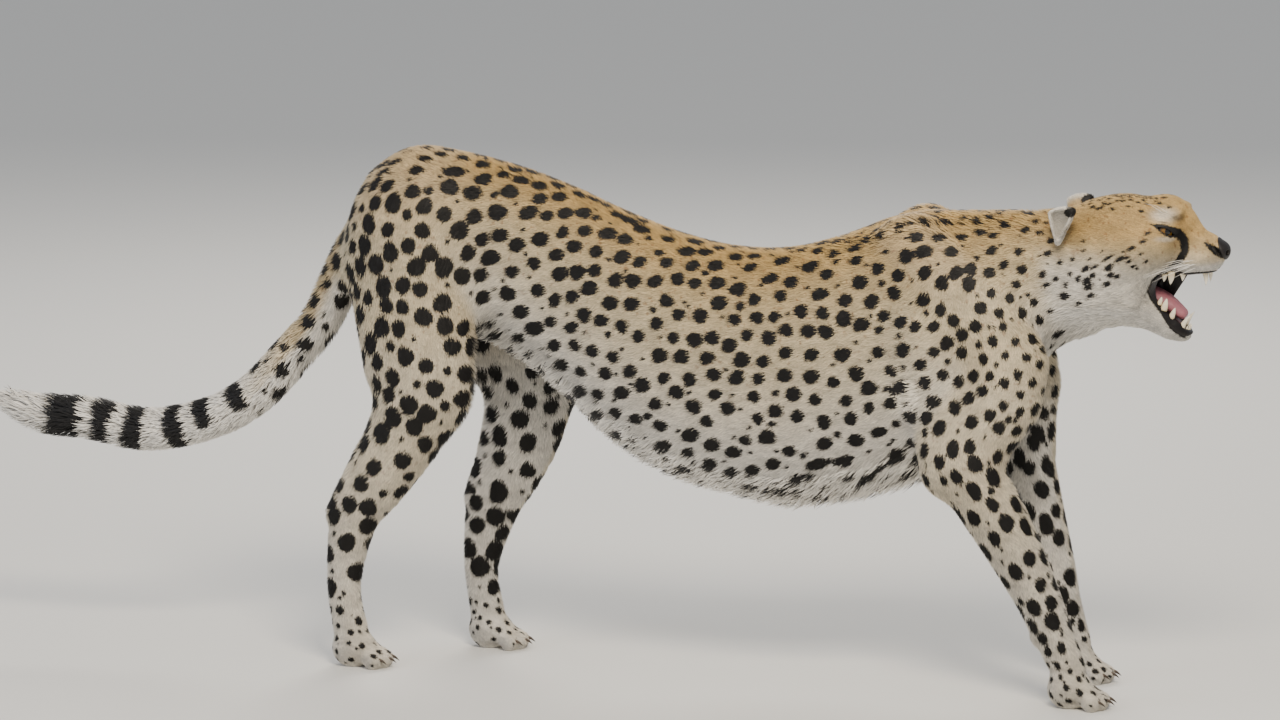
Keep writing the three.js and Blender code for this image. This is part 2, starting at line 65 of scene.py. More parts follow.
# One row stands for both sides.
bothSides = [
    ball([-334, 0, 612], [86, 74, 112], 10, 30),  # pelvis
    cone([432, 72, 500], 60, [464, 88, 352], 43, 0.64, 30),  # triceps
    ball([456, 90, 320], [28, 22, 27], 0, 16),  # elbow
    ball([526, 0, 436], [52, 56, 58], 0, 24),  # breast
    ball([690, 0, 641], [86, 61, 63], 0, 20),  # skull
    ball([746, 0, 657], [38, 43, 48], 0, 18),  # forehead
    ball([766, 0, 663], [34, 24, 22], 42, 14),  # bridge of the nose
    cone([748, 0, 631], 35, [799, 0, 628], 27, 1.06, 16),  # muzzle
    ball([821, 0, 629], [12, 17, 13.5], 24, 7),  # nose
    ball([804, 14, 615], [18, 17, 14], 0, 10),  # lip
    ball([784, 22, 616], [24, 18, 18], 0, 12),  # whisker pad
    ball([712, 42, 630], [46, 27, 34], 0, 20),  # cheekbone
    ball([676, 44, 590], [50, 27, 46], 20, 22),  # jaw muscle
    ball([757, 26, 680], [18, 15, 9], -25, 12),  # brow
    cone([640, 0, 572], 62, [698, 0, 563], 44, 0.98, 26),  # throat
    cone([694, 20, 560], 27, [752, 6, 525], 20, 1.0, 14),  # lower jaw
    ball([765, 0, 518], [19, 20, 15], 35, 10),  # chin
]

# Each leg: rows of x, distance from the middle plane, z and fore-and-aft radius.
legs = dict(
    foreRight=dict(
        side=-1, flat=0.82, paw=(634, 84),
        upper=[[402, 50, 622, 50], [545, 80, 472, 56], [486, 90, 352, 52]],
        bones=[[490, 92, 326, 49], [545, 90, 236, 42], [588, 87, 152, 33], [606, 85, 110, 30],
               [630, 84, 58, 26]]),
    foreLeft=dict(
        side=1, flat=0.82, paw=(608, 84),
        upper=[[402, 50, 622, 50], [522, 78, 470, 56], [520, 88, 346, 52]],
        bones=[[518, 91, 336, 52], [546, 90, 245, 42], [573, 87, 160, 34], [586, 85, 112, 30],
               [604, 84, 58, 26]]),
    hindRight=dict(
        side=-1, flat=0.64, paw=(-396, 84), heel=(-421, 86, 214),
        back=[[-366, 30, 560, 54], [-332, 70, 440, 50]],
        upper=[[-318, 52, 616, 86], [-292, 76, 470, 80], [-288, 84, 400, 67]],
        bones=[[-290, 84, 404, 67], [-318, 87, 338, 57], [-362, 87, 264, 45], [-394, 86, 212, 36],
               [-410, 85, 120, 26], [-402, 84, 58, 26]]),
    hindLeft=dict(
        side=1, flat=0.64, paw=(-244, 84), heel=(-266, 88, 214),
        back=[[-362, 30, 560, 54], [-276, 74, 440, 52]],
        upper=[[-314, 52, 616, 86], [-236, 78, 480, 82], [-186, 88, 396, 68]],
        bones=[[-184, 89, 392, 68], [-197, 91, 322, 61], [-218, 90, 262, 52], [-240, 88, 210, 42],
               [-258, 86, 120, 27], [-250, 85, 58, 26]]))
toe = dict(length=44, outerShorter=10, radius=12.5, spread=15, height=10.5, palm=29)

tailRow = np.array([
    [-380, 0, 620, 36], [-414, 0, 584, 33], [-438, 0, 540, 32], [-470, 1, 474, 32], [-516, 2, 420, 32],
    [-572, 3, 363, 32], [-640, 3, 326, 32], [-732, 2, 307, 33], [-817, 0, 320, 33], [-890, -2, 324, 31],
    [-945, -4, 342, 19]], float)
ear = dict(at=(613, 63, 664), size=(33, 13, 28), turn=-24)
mouth = np.array([[735, 577], [739, 586], [747, 592], [760, 596], [776, 600], [792, 603], [880, 606],
                  [880, 520], [783, 520], [771, 528], [758, 541], [746, 554], [738, 567]], float)
throat = ball([722, 0, 572], [34, 25, 17], math.degrees(0.5))
earCup = ball([ear["at"][0] + 1, ear["at"][1] + 11, ear["at"][2] + 3], [21, 15, 24], ear["turn"])


def smoothMin(a, b, k):
    h = np.maximum(k - np.abs(a - b), 0) / k
    return np.minimum(a, b) - h * h * k * 0.25


def smoothMax(a, b, k):
    return -smoothMin(-a, -b, k)


def coneField(m, x, y, z):
    d = m["b"] - m["a"]
    px, py, pz = x - m["a"][0], y - m["a"][1], z - m["a"][2]
    t = np.clip((px * d[0] + py * d[1] + pz * d[2]) / (d @ d), 0, 1)
    side = (py - t * d[1]) / m["flat"]
    return np.sqrt((px - t * d[0])**2 + side**2 + (pz - t * d[2])**2) - (m["ra"] + t * (m["rb"] - m["ra"]))


def ballField(m, x, y, z):
    dx, dy, dz = x - m["c"][0], y - m["c"][1], z - m["c"][2]
    c, s = math.cos(m["turn"]), math.sin(m["turn"])
    r = m["r"]
    p, q, w = (c * dx - s * dz) / r[0], dy / r[1], (s * dx + c * dz) / r[2]
    k0 = np.sqrt(p * p + q * q + w * w)
    k1 = np.sqrt((p / r[0])**2 + (q / r[1])**2 + (w / r[2])**2)
    return np.where(k1 < 1e-9, -r.min(), k0 * (k0 - 1) / np.maximum(k1, 1e-9))


def cubic(p1, p2, m1, m2, t):
    return ((2 * t**3 - 3 * t**2 + 1) * p1 + (t**3 - 2 * t**2 + t) * m1 + (3 * t**2 - 2 * t**3) * p2
            + (t**3 - t**2) * m2)


conesPerRow = 3


def chain(rows, side, flat, k):  # cones along a smooth curve through the rows
    rows = np.array(rows, float)
    last = len(rows) - 1
    placed = []
    for i in range(last):
        m1 = (rows[i + 1] - rows[max(i - 1, 0)]) / 2
        m2 = (rows[min(i + 2, last)] - rows[i]) / 2
        placed += [cubic(rows[i], rows[i + 1], m1, m2, j / conesPerRow) for j in range(conesPerRow)]
    placed = np.array(placed + [rows[-1]]) * [1, side, 1, 1]
    cones = [cone(p[:3], p[3], q[:3], q[3], flat, 0) for p, q in zip(placed, placed[1:])]
    return dict(blend=k, cones=cones)



def toeTips(leg):  # x and y of each toe's end
    px, py = leg["paw"]
    for row in (-1.5, -0.5, 0.5, 1.5):
        reach = toe["length"] - (toe["outerShorter"] if abs(row) > 1 else 0)
        yield px + reach, leg["side"] * py + row * toe["spread"]


def legMuscles(leg):
    side = leg["side"]
    made = [chain(leg["upper"], side, 0.58, 34), chain(leg["bones"], side, leg["flat"], 26)]
    if "back" in leg:
        made.append(chain(leg["back"], side, 0.8, 34))
    if "heel" in leg:
        hx, hy, hz = leg["heel"]
        made.append(cone([hx + 52, side * hy, hz + 92], 20, [hx + 2, side * hy, hz + 4], 17, 0.7, 16))
    else:
        wx, wy, wz, _ = leg["bones"][-2]
        made.append(ball([wx - 17, side * wy, wz - 14], [11, 12, 13], 0, 10))
    px, py = leg["paw"]
    made.append(ball([px, side * py, 25], [32, toe["palm"], 29], 0, 14))
    for x, y in toeTips(leg):
        knuckle = [px + 12, y * 0.2 + side * py * 0.8, 24]
        made.append(cone(knuckle, 15, [x, y, toe["height"]], toe["radius"], 0.92, 8))
    return made


limbs = [legMuscles(leg) for leg in legs.values()]
limbBlend = 38.0
tail = chain(tailRow, 1, 1.0, 20)


def trunkField(x, y, z):
    rows = trunkSections
    px = np.clip(x, rows[0, 0], rows[-1, 0])
    i = np.clip(np.searchsorted(rows[:, 0], px, side="right") - 1, 0, len(rows) - 2)
    p1, p2 = rows[i], rows[i + 1]
    p0, p3 = rows[np.maximum(i - 1, 0)], rows[np.minimum(i + 2, len(rows) - 1)]
    gap = p2[..., 0] - p1[..., 0]
    t = (px - p1[..., 0]) / gap
    t2, t3 = t * t, t * t * t
    top, bottom, width = [
        (2 * t3 - 3 * t2 + 1) * p1[..., k] + (t3 - 2 * t2 + t) * (p2[..., k] - p0[..., k])
        / (p2[..., 0] - p0[..., 0]) * gap + (3 * t2 - 2 * t3) * p2[..., k]
        + (t3 - t2) * (p3[..., k] - p1[..., k]) / (p3[..., 0] - p1[..., 0]) * gap for k in (1, 2, 3)]
    mid, half = (top + bottom) / 2, (top - bottom) / 2
    up = np.clip((z - mid) / half, -1, 1)
    wide = width * (1 - 0.1 * up)
    n = trunkPower
    rho = ((np.abs(y) / wide)**n + (np.abs(z - mid) / half)**n)**(1 / n)
    reach = np.sqrt(y**2 + (z - mid)**2) / np.maximum(rho, 1e-6)
    around = (rho - 1) * np.where(rho > 1e-6, reach, half)
    past = np.maximum(np.maximum(rows[0, 0] - x, x - rows[-1, 0]), 0)
    return np.where(past > 0, np.hypot(np.maximum(around, 0), past), around)


def mouthField(x, z):
    nearest = np.full(np.broadcast(x, z).shape, 1e6)
    inside = np.zeros(nearest.shape, bool)
    for (ax, az), (bx, bz) in zip(mouth, np.roll(mouth, -1, 0)):
        t = np.clip(((x - ax) * (bx - ax) + (z - az) * (bz - az)) / ((bx - ax)**2 + (bz - az)**2), 0, 1)
        nearest = np.minimum(nearest, np.hypot(x - ax - t * (bx - ax), z - az - t * (bz - az)))
        if az != bz:
            inside ^= ((az > z) != (bz > z)) & (x < (bx - ax) * (z - az) / (bz - az) + ax)
    return np.where(inside, -nearest, nearest)


def muscleField(m, points):  # far from the muscle's box the value is only a large number
    x, y, z = points
    if "cones" in m:
        d = np.full(x.shape, 400.0)
        for part in m["cones"]:
            d = np.minimum(d, muscleField(part, points))
        return d
    if "a" in m:
        pad = max(m["ra"], m["rb"]) + 64
        low, high = np.minimum(m["a"], m["b"]) - pad, np.maximum(m["a"], m["b"]) + pad
    else:
        pad = m["r"].max() + 64
        low, high = m["c"] - pad, m["c"] + pad
    d = np.full(x.shape, 400.0)
    near = (x > low[0]) & (x < high[0]) & (y > low[1]) & (y < high[1]) & (z > low[2]) & (z < high[2])
    if near.any():
        d[near] = (coneField if "a" in m else ballField)(m, x[near], y[near], z[near])
    return d


def limbField(limb, points):
    d = muscleField(limb[0], points)
    for m in limb[1:]:
        d = smoothMin(d, muscleField(m, points), m["blend"])
    return d


def bodyField(x, y, z):
    x, y, z = np.broadcast_arrays(x, y, z)
    d = trunkField(x, y, z)
    for m in bothSides:
        d = smoothMin(d, muscleField(m, (x, np.abs(y), z)), m["blend"])
    d = smoothMin(d, muscleField(tail, (x, y, z)), tail["blend"])
    leg = np.full(x.shape, 400.0)
    for limb in limbs:
        leg = np.minimum(leg, limbField(limb, (x, y, z)))
    return np.maximum(smoothMin(d, leg, limbBlend), -z)


def smoothStep(low, high, v):
    t = np.clip((v - low) / (high - low), 0, 1)
    return t * t * (3 - 2 * t)


headCut = dict(x=575, z=640, slope=0.22)  # the leaning plane that parts head from neck


def headward(x, z):  # how far forward a point lies, measured across that plane
    return x + headCut["slope"] * (z - headCut["z"])


eyeball = dict(at=np.array([745.0, 30.5, 659.0]), radius=15.8, lid=1.7, halfLength=14.5, halfHeight=3.4,
               look=np.array([0.50, 0.85, 0.10]), long=np.array([-33.0, 15.0, 17.0]))
eyeball["look"] /= np.linalg.norm(eyeball["look"])
eyeball["long"] -= eyeball["look"] * (eyeball["long"] @ eyeball["look"])
eyeball["long"] /= np.linalg.norm(eyeball["long"])
eyeball["up"] = np.cross(eyeball["look"], eyeball["long"])
eyeball["up"] *= np.sign(eyeball["up"][2])


def eyeFrame(x, y, z):  # along the slit, up, out of the head, and distance from the eyeball's middle
    dx, dy, dz = x - eyeball["at"][0], np.abs(y) - eyeball["at"][1], z - eyeball["at"][2]
    along, up, out = [dx * v[0] + dy * v[1] + dz * v[2]
                      for v in (eyeball["long"], eyeball["up"], eyeball["look"])]
    return along, up, out, np.sqrt(dx * dx + dy * dy + dz * dz)


def slitField(along, up):
    t = np.clip(along / eyeball["halfLength"], -1.4, 1.4)
    half = eyeball["halfHeight"] * (1 - t * t)
    return (np.abs(up + 0.8) - half) * 0.85


coatDepth = dict(body=5.0, belly=14.0, mane=8.0, leg=3.6, paw=2.4, tail=8.0, tailEnd=11.0, face=2.6,
                 ear=1.6)


def depthAt(x, y, z):
    low = np.interp(x, trunkSections[:, 0], trunkSections[:, 2])
    top = np.interp(x, trunkSections[:, 0], trunkSections[:, 1])
    depth = np.full(np.shape(x), coatDepth["body"])
    onTrunk = smoothStep(-330, -240, x) * (1 - smoothStep(500, 600, x))
    under = onTrunk * (1 - smoothStep(10, 75, z - low)) * (1 - smoothStep(60, 100, np.abs(y)))
    depth += (coatDepth["belly"] - coatDepth["body"]) * under
    nape = smoothStep(260, 330, x) * (1 - smoothStep(560, 600, x)) * smoothStep(-40, -12, z - top)
    depth += (coatDepth["mane"] - coatDepth["body"]) * nape
    leg = 1 - smoothStep(330, 430, z - 0.2 * np.minimum(x, 0))
    leg *= 1 - smoothStep(-440, -470, x)
    leg = np.where((x < -455) & (z > 240), 0, leg)
    depth += (coatDepth["leg"] - depth) * leg * (1 - under)
    paw = 1 - smoothStep(40, 90, z)
    depth += (coatDepth["paw"] - depth) * paw
    depth *= smoothStep(0, 6, z)
    onTail = smoothStep(-415, -470, x) * smoothStep(230, 270, z)
    tailDepth = coatDepth["tail"] + (coatDepth["tailEnd"] - coatDepth["tail"]) * smoothStep(-560, -900, x)
    depth += (tailDepth - depth) * onTail
    head = smoothStep(600, 650, headward(x, z))
    depth += (coatDepth["face"] - depth) * head
    muzzle = smoothStep(740, 800, x)
    depth += (1.6 - depth) * muzzle * head
    lip = head * (1 - smoothStep(3, 11, mouthField(x, z))) * smoothStep(700, 720, x)
    return depth + (1.0 - depth) * lip


def earShell(x, side, z):  # a laid-back ear: straight along its rear edge, pointed at the top
    shell = ballField(ball(ear["at"], np.array(ear["size"]) - coatDepth["ear"], ear["turn"]), x, side, z)
    rear = -0.962 * (x - 599) - 0.272 * (z - 660)
    front = 0.907 * (x - 634) - 0.421 * (z - 692)
    return smoothMax(smoothMax(shell, rear, 4), front, 6)


def earOutline(x, z):  # the ear's outline seen from the side
    return earShell(x, ear["at"][1], z)


def nostrilField(x, side, z):
    hole = ballField(ball([829, 8.5, 629], [8, 4.2, 3.6], 0), x, side, z)
    wing = ballField(ball([815, 15.5, 633], [10.5, 3.6, 2.0], 40), x, side, z)
    return smoothMin(hole, wing, 3)


def noseHalf(z):  # half the width of the nose pad
    return np.interp(z, [600, 608, 616, 625, 637, 648], [3.6, 6.6, 11.5, 17.5, 19.5, 15.0])


def noseRear(x, z):  # how far a point lies ahead of the pad's rear edge
    return ((x - 811) * 48 + (z - 660) * 18) / 51.26


def lipWidth(x, z):  # the black lip: thin under the muzzle, broad at the corner and along the lower jaw
    upper = 1.6 + 8.8 * smoothStep(778, 754, x) - 3.2 * smoothStep(746, 732, x)
    lower = 7.4 + 5.0 * smoothStep(740, 756, x) - 6.0 * smoothStep(772, 786, x)
    return upper + (lower - upper) * smoothStep(584, 566, z)


def headDetail(d, x, y, z):
    side = np.abs(y)
    d = smoothMin(d, earShell(x, side, z), 8)
    d = smoothMax(d, -smoothMax(ballField(earCup, x, side, z), earOutline(x, z) + 3.2, 2), 2)
    along, up, out, far = eyeFrame(x, y, z)
    socket = far - eyeball["radius"] - eyeball["lid"]
    d = smoothMin(d, socket, 11)
    fold = np.hypot(up - 9.5 + along * along * 0.014, far - eyeball["radius"] - 3.4)
    fold = fold - 1.0 * (1 - ((along - 6) / 10)**2)
    d = smoothMax(d, -np.where(out > 0, fold, 40), 2.0)
    hole = np.maximum(np.maximum(slitField(along, up), eyeball["radius"] - 1.6 - far), 2 - out)
    d = smoothMax(d, -hole, 1.2)
    return smoothMax(d, 1.2 - nostrilField(x, side, z), 2)


def cavityField(x, y, z):  # the open mouth: negative in the air between the jaws
    halfWide = np.interp(x, [730, 760, 800, 822], [30, 21, 12, 4])
    inner = np.maximum(mouthField(x, z) - 5.0, np.abs(y) - halfWide)
    opening = smoothMin(mouthField(x, z), inner, 4)
    return smoothMin(opening, ballField(throat, x, y, z), 6)


def skinField(x, y, z, detail=True):
    x, y, z = np.broadcast_arrays(x, y, z)
    d = bodyField(x, y, z) + depthAt(x, y, z)
    if detail:
        near = (x > 560) & (z > 470)
        px, py, pz = x[near], y[near], z[near]
        face = headDetail(d[near], px, py, pz)
        d[near] = smoothMax(face, -cavityField(px, py, pz) - 1.5, 4.5)
    return d


def gradient(field, p, step=0.4):
    columns = []
    for axis in range(3):
        q = p.copy()
        q[:, axis] += step
        r = p.copy()
        r[:, axis] -= step
        columns.append((field(*q.T) - field(*r.T)) / (2 * step))
    return np.stack(columns, 1)


def unit(v):
    return v / np.maximum(np.linalg.norm(v, axis=1, keepdims=True), 1e-9)


def sampleField(field, axes):
    stride = 4
    reach = stride * max(np.diff(a).max() for a in axes) * 1.6
    coarse = [a[::stride] if (len(a) - 1) % stride == 0 else np.append(a[::stride], a[-1]) for a in axes]
    rough = field(*np.meshgrid(*coarse, indexing="ij"))
    picks = [np.minimum(np.arange(len(a)) // stride, len(c) - 2) for a, c in zip(axes, coarse)]
    least = np.abs(rough[:-1, :-1, :-1])
    a, b, c = least.shape
    for i, j, k in np.ndindex(2, 2, 2):
        least = np.minimum(least, np.abs(rough[i:i + a, j:j + b, k:k + c]))
    grid = np.ix_(*picks)
    value = rough[grid].astype(float)
    near = np.nonzero(least[grid] < reach)
    value[near] = field(*[a[n] for a, n in zip(axes, near)])
    return value


def surfaceNet(value, axes):
    size = np.array(value.shape)
    cells = size - 1
    total = int(np.prod(cells))
    count = np.zeros(total)
    sums = np.zeros((3, total))
    quads = []
    for axis in range(3):
        u, w = (axis + 1) % 3, (axis + 2) % 3
        a = np.take(value, np.arange(size[axis] - 1), axis)
        b = np.take(value, np.arange(1, size[axis]), axis)
        hit = np.stack(np.nonzero((a < 0) != (b < 0)), 1)
        hit = hit[(hit[:, u] > 0) & (hit[:, w] > 0) & (hit[:, u] < size[u] - 1) & (hit[:, w] < size[w] - 1)]
        va, vb = a[tuple(hit.T)], b[tuple(hit.T)]
        point = np.stack([axes[n][hit[:, n]] for n in range(3)], 1)
        point[:, axis] += va / (va - vb) * (axes[axis][hit[:, axis] + 1] - axes[axis][hit[:, axis]])
        four = []
        for du, dw in ((0, 0), (1, 0), (1, 1), (0, 1)):
            cell = hit.copy()
            cell[:, u] -= du
            cell[:, w] -= dw
            flat = (cell[:, 0] * cells[1] + cell[:, 1]) * cells[2] + cell[:, 2]
            four.append(flat)
            count += np.bincount(flat, minlength=total)
            for n in range(3):
                sums[n] += np.bincount(flat, point[:, n], minlength=total)
        quad = np.stack(four, 1)
        quad[va >= 0] = quad[va >= 0][:, ::-1]
        quads.append(quad)
    quads = np.concatenate(quads)
    used = np.unique(quads)
    index = np.full(total, -1)
    index[used] = np.arange(len(used))
    return (sums[:, used] / count[used]).T, index[quads]


def settle(field, p, steps=2):  # pull points onto the surface
    for _ in range(steps):
        g = gradient(field, p)
        move = field(*p.T)[:, None] * g / np.maximum((g * g).sum(1, keepdims=True), 0.2)
        p = p - np.clip(move, -2.5, 2.5)
    return p


def axisOf(low, high, step):
    return np.linspace(low, high, int(round((high - low) / step)) + 1)


def shapeMesh(name, points, faces):
    mesh = bpy.data.meshes.new(name)
    faces = np.asarray(faces)
    mesh.vertices.add(len(points))
    mesh.vertices.foreach_set("co", (np.asarray(points) - middle).astype(np.float32).ravel() / 1000)
    mesh.loops.add(faces.size)
    mesh.loops.foreach_set("vertex_index", faces.astype(np.int32).ravel())
    mesh.polygons.add(len(faces))
    mesh.polygons.foreach_set("loop_start", np.arange(0, faces.size, faces.shape[1], dtype=np.int32))
    mesh.update(calc_edges=True)
    return mesh


skinZones = dict(body=6.2, head=2.5, paw=3.6, pawTop=66.0, gap=1.6)


def zoneMesh(axes, detail):
    def field(x, y, z):
        return skinField(x, y, z, detail)
    points, quads = surfaceNet(sampleField(field, axes), axes)
    work = bmesh.new()
    verts = [work.verts.new(p) for p in settle(field, points).tolist()]
    for q in quads.tolist():
        work.faces.new([verts[i] for i in q])
    return work


def clip(work, at, normal):  # keeps what lies ahead of the plane
    parts = work.verts[:] + work.edges[:] + work.faces[:]
    bmesh.ops.bisect_plane(work, geom=parts, dist=0.02, plane_co=at, plane_no=normal, clear_inner=True)


def edgeLoops(work):
    work.edges.index_update()
    edges = {e.index: e for e in work.edges if e.is_boundary}
    loops = []
    while edges:
        loop, stack = [], [edges.popitem()[1]]
        while stack:
            e = stack.pop()
            loop.append(e)
            for v in e.verts:
                for other in v.link_edges:
                    if edges.pop(other.index, None) is not None:
                        stack.append(other)
        loops.append(loop)
    return loops


def middleOf(loop):
    return sum((v.co for e in loop for v in e.verts), Vector()) / (2 * len(loop))


def buildSkin():
    z = skinZones
    cutAt = Vector((headCut["x"], 0, headCut["z"]))
    cutWay = Vector((1, 0, headCut["slope"])).normalized()
    body = zoneMesh([axisOf(-968, 690, z["body"]), axisOf(-140, 140, z["body"]),
                     axisOf(40, 742, z["body"])], False)
    clip(body, cutAt - cutWay * z["gap"] / 2, -cutWay)
    clip(body, Vector((0, 0, z["pawTop"] + z["gap"] / 2)), Vector((0, 0, 1)))
    head = zoneMesh([axisOf(550, 838, z["head"]), axisOf(-88, 88, z["head"]), axisOf(438, 712, z["head"])],
                    True)
    clip(head, cutAt + cutWay * z["gap"] / 2, cutWay)
    parts = [body, head]
    for leg in legs.values():
        px, py = leg["paw"]
        py *= leg["side"]
        box = [axisOf(px - 62, px + 66, z["paw"]), axisOf(py - 48, py + 48, z["paw"]),
               axisOf(-6, 78, z["paw"])]
        paw = zoneMesh(box, False)
        clip(paw, Vector((0, 0, z["pawTop"] - z["gap"] / 2)), Vector((0, 0, -1)))
        parts.append(paw)
    whole = bmesh.new()
    for part in parts:
        mesh = bpy.data.meshes.new("zone")
        part.to_mesh(mesh)
        whole.from_mesh(mesh)
        bpy.data.meshes.remove(mesh)
        part.free()
    loops = [(middleOf(loop), loop) for loop in edgeLoops(whole)]
    print("skin loops to join", len(loops))
    while loops:
        centre, loop = loops.pop()
        other = min(range(len(loops)), key=lambda i: (loops[i][0] - centre).length)
        bmesh.ops.bridge_loops(whole, edges=loop + loops.pop(other)[1])
    close = [f for f in whole.faces if finer(f.calc_center_median())]
    edges = list(dict.fromkeys(e for f in close for e in f.edges))
    bmesh.ops.subdivide_edges(whole, edges=edges, cuts=1, use_grid_fill=True)
    bmesh.ops.triangulate(whole, faces=[f for f in whole.faces if len(f.verts) > 3])
    bmesh.ops.recalc_face_normals(whole, faces=whole.faces[:])
    points = np.array([v.co[:] for v in whole.verts])
    ahead = headward(points[:, 0], points[:, 2]) > headCut["x"]
    points[ahead] = settle(skinField, points[ahead])
    faces = np.array([[v.index for v in f.verts] for f in whole.faces])
    whole.free()
    return points, faces


def finer(c):  # the lids get smaller faces
    along, up, out, _ = eyeFrame(c.x, c.y, c.z)
    return c.x > 720 and out > 0 and abs(along) < 22 and abs(up) < 13


points, faces = buildSkin()
normals = unit(gradient(skinField, points))
corner = points[faces]
areas = np.linalg.norm(np.cross(corner[:, 1] - corner[:, 0], corner[:, 2] - corner[:, 0]), axis=1) / 2
print("skin", len(points), "points", len(faces), "triangles", round(areas.sum() / 1e6, 3), "square metres")


# The lie of the coat: a direction in the skin at every point, from the nose and chin back to the tail.
earBase = np.array([630.0, 58.0, 652.0])
noseTip = np.array([836.0, 0.0, 640.0])
chinTip = np.array([792.0, 0.0, 522.0])


def coneFlow(cones, at):
    far = np.stack([muscleField(m, at.T) for m in cones])
    weight = np.exp(-(far - far.min(0)) / 7)
    ways = unit(np.stack([m["b"] - m["a"] for m in cones]))
    return unit(np.einsum("kn,kj->nj", weight, ways))


def share(field, reach):
    return np.exp(-np.maximum(field, 0) / reach)[:, None]


def across(v, normals):
    return unit(v - (v * normals).sum(1, keepdims=True) * normals)


def layOfCoat(at, normals):
    x, y, z = at.T
    trunk = np.tile([-1.0, 0.0, -0.3], (len(at), 1))
    low = np.interp(x, trunkSections[:, 0], trunkSections[:, 2])
    trunk[:, 2] -= 0.7 * smoothStep(90, 10, z - low) * smoothStep(-300, -200, x)
    trunk[:, 2] -= 0.5 * smoothStep(430, 520, x) * (1 - smoothStep(560, 620, x)) * smoothStep(640, 560, z)
    flow = unit(trunk) * share(trunkField(x, y, z), 12)
    topOfLeg = np.where(x > 100, smoothStep(610, 530, z), smoothStep(700, 600, z))[:, None]
    for limb in limbs:
        cones = [c for m in limb for c in m.get("cones", [m] if "a" in m else [])]
        flow += coneFlow(cones, at) * share(limbField(limb, at.T), 9) * topOfLeg
    onTail = share(muscleField(tail, at.T), 9) * smoothStep(-385, -430, x)[:, None]
    flow += coneFlow(tail["cones"], at) * onTail * 2
    head = smoothStep(560, 640, headward(x, z))[:, None]
    upper = smoothStep(-8, 8, z - np.interp(x, [640, 720, 800], [560, 574, 570]))[:, None]
    fromFace = unit(at - noseTip) * upper + unit(at - chinTip) * (1 - upper)
    flow = flow * (1 - head) + (fromFace + [-0.3, 0, 0]) * head
    onEar = share(earShell(x, np.abs(y), z), 3) * smoothStep(560, 575, x)[:, None]
    away = unit(np.stack([x, np.abs(y), z], 1) - earBase) * np.stack([x * 0 + 1, np.sign(y), x * 0 + 1], 1)
    return across(flow * (1 - onEar) + away * onEar, normals)


def smoothOver(values, rounds):
    pairs = np.sort(np.concatenate([faces[:, [0, 1]], faces[:, [1, 2]], faces[:, [2, 0]]]), 1)
    a, b = np.unique(pairs, axis=0).T
    count = np.bincount(a, minlength=len(points)) + np.bincount(b, minlength=len(points))
    for _ in range(rounds):
        total = np.stack([np.bincount(a, values[b, k], len(points))
                          + np.bincount(b, values[a, k], len(points))
                          for k in range(values.shape[1])], 1)
        values = 0.4 * values + 0.6 * total / count[:, None]
    return values


lay = across(smoothOver(layOfCoat(points, normals), 14), normals)
print("lay of the coat")


# The coat's length in mm: belly, nape, thigh, elbow, throat and tailEnd add to it, the others set it.
coatLength = dict(body=8.5, belly=24.0, nape=9.0, thigh=5.0, shin=7.0, elbow=8.0, tail=16.0, tailEnd=12.0,
                  paw=4.6, head=5.6, muzzle=3.0, ear=5.0, throat=6.0)


def hillAt(at, centre, size, low, high):
    side = np.stack([at[:, 0], np.abs(at[:, 1]), at[:, 2]], 1)
    return smoothStep(high, low, np.linalg.norm((side - centre) / size, axis=1))


def regionsOf(at):  # how far each point belongs to a part of the body, 0 to 1
    x, y, z = at.T
    side = np.abs(y)
    low, top = [np.interp(x, trunkSections[:, 0], trunkSections[:, k]) for k in (2, 1)]
    high = (z - low) / (top - low)
    head = smoothStep(565, 590, headward(x, z))
    onEar = np.exp(-np.maximum(earShell(x, side, z), 0) / 3) * (x > 560)
    onTail = smoothStep(4, -4, muscleField(tail, at.T) + 2) * smoothStep(-385, -425, x)
    legTop = np.where(x > 100, 400, 460)
    onLeg = smoothStep(40, -60, z - legTop) * smoothStep(0, 30, trunkField(x, y, z))
    onLeg = onLeg * (1 - onTail) * (1 - head)
    outOfTrunk = trunkField(x, y, z) - np.min([limbField(m, at.T) for m in limbs], 0)
    onLimb = smoothStep(-4, 22, outOfTrunk) * (1 - head)
    onLimb = np.maximum(onLimb, smoothStep(-210, -290, x))
    earBack = smoothStep(ear["at"][1] - 4, ear["at"][1] - 9, side)
    inEar = smoothStep(-2.2, -5.0, earOutline(x, z)) * (1 - earBack) * onEar
    belly = smoothStep(-290, -200, x) * (1 - smoothStep(470, 560, x)) * (1 - smoothStep(0.02, 0.20, high))
    belly *= (1 - onLeg) * (1 - onLimb)
    nape = smoothStep(250, 340, x) * (1 - smoothStep(540, 600, x)) * smoothStep(0.86, 1.0, high)
    return dict(high=high, head=head, onEar=onEar, onTail=onTail, onLeg=onLeg, onLimb=onLimb,
                earBack=earBack, inEar=inEar, belly=belly, nape=nape)


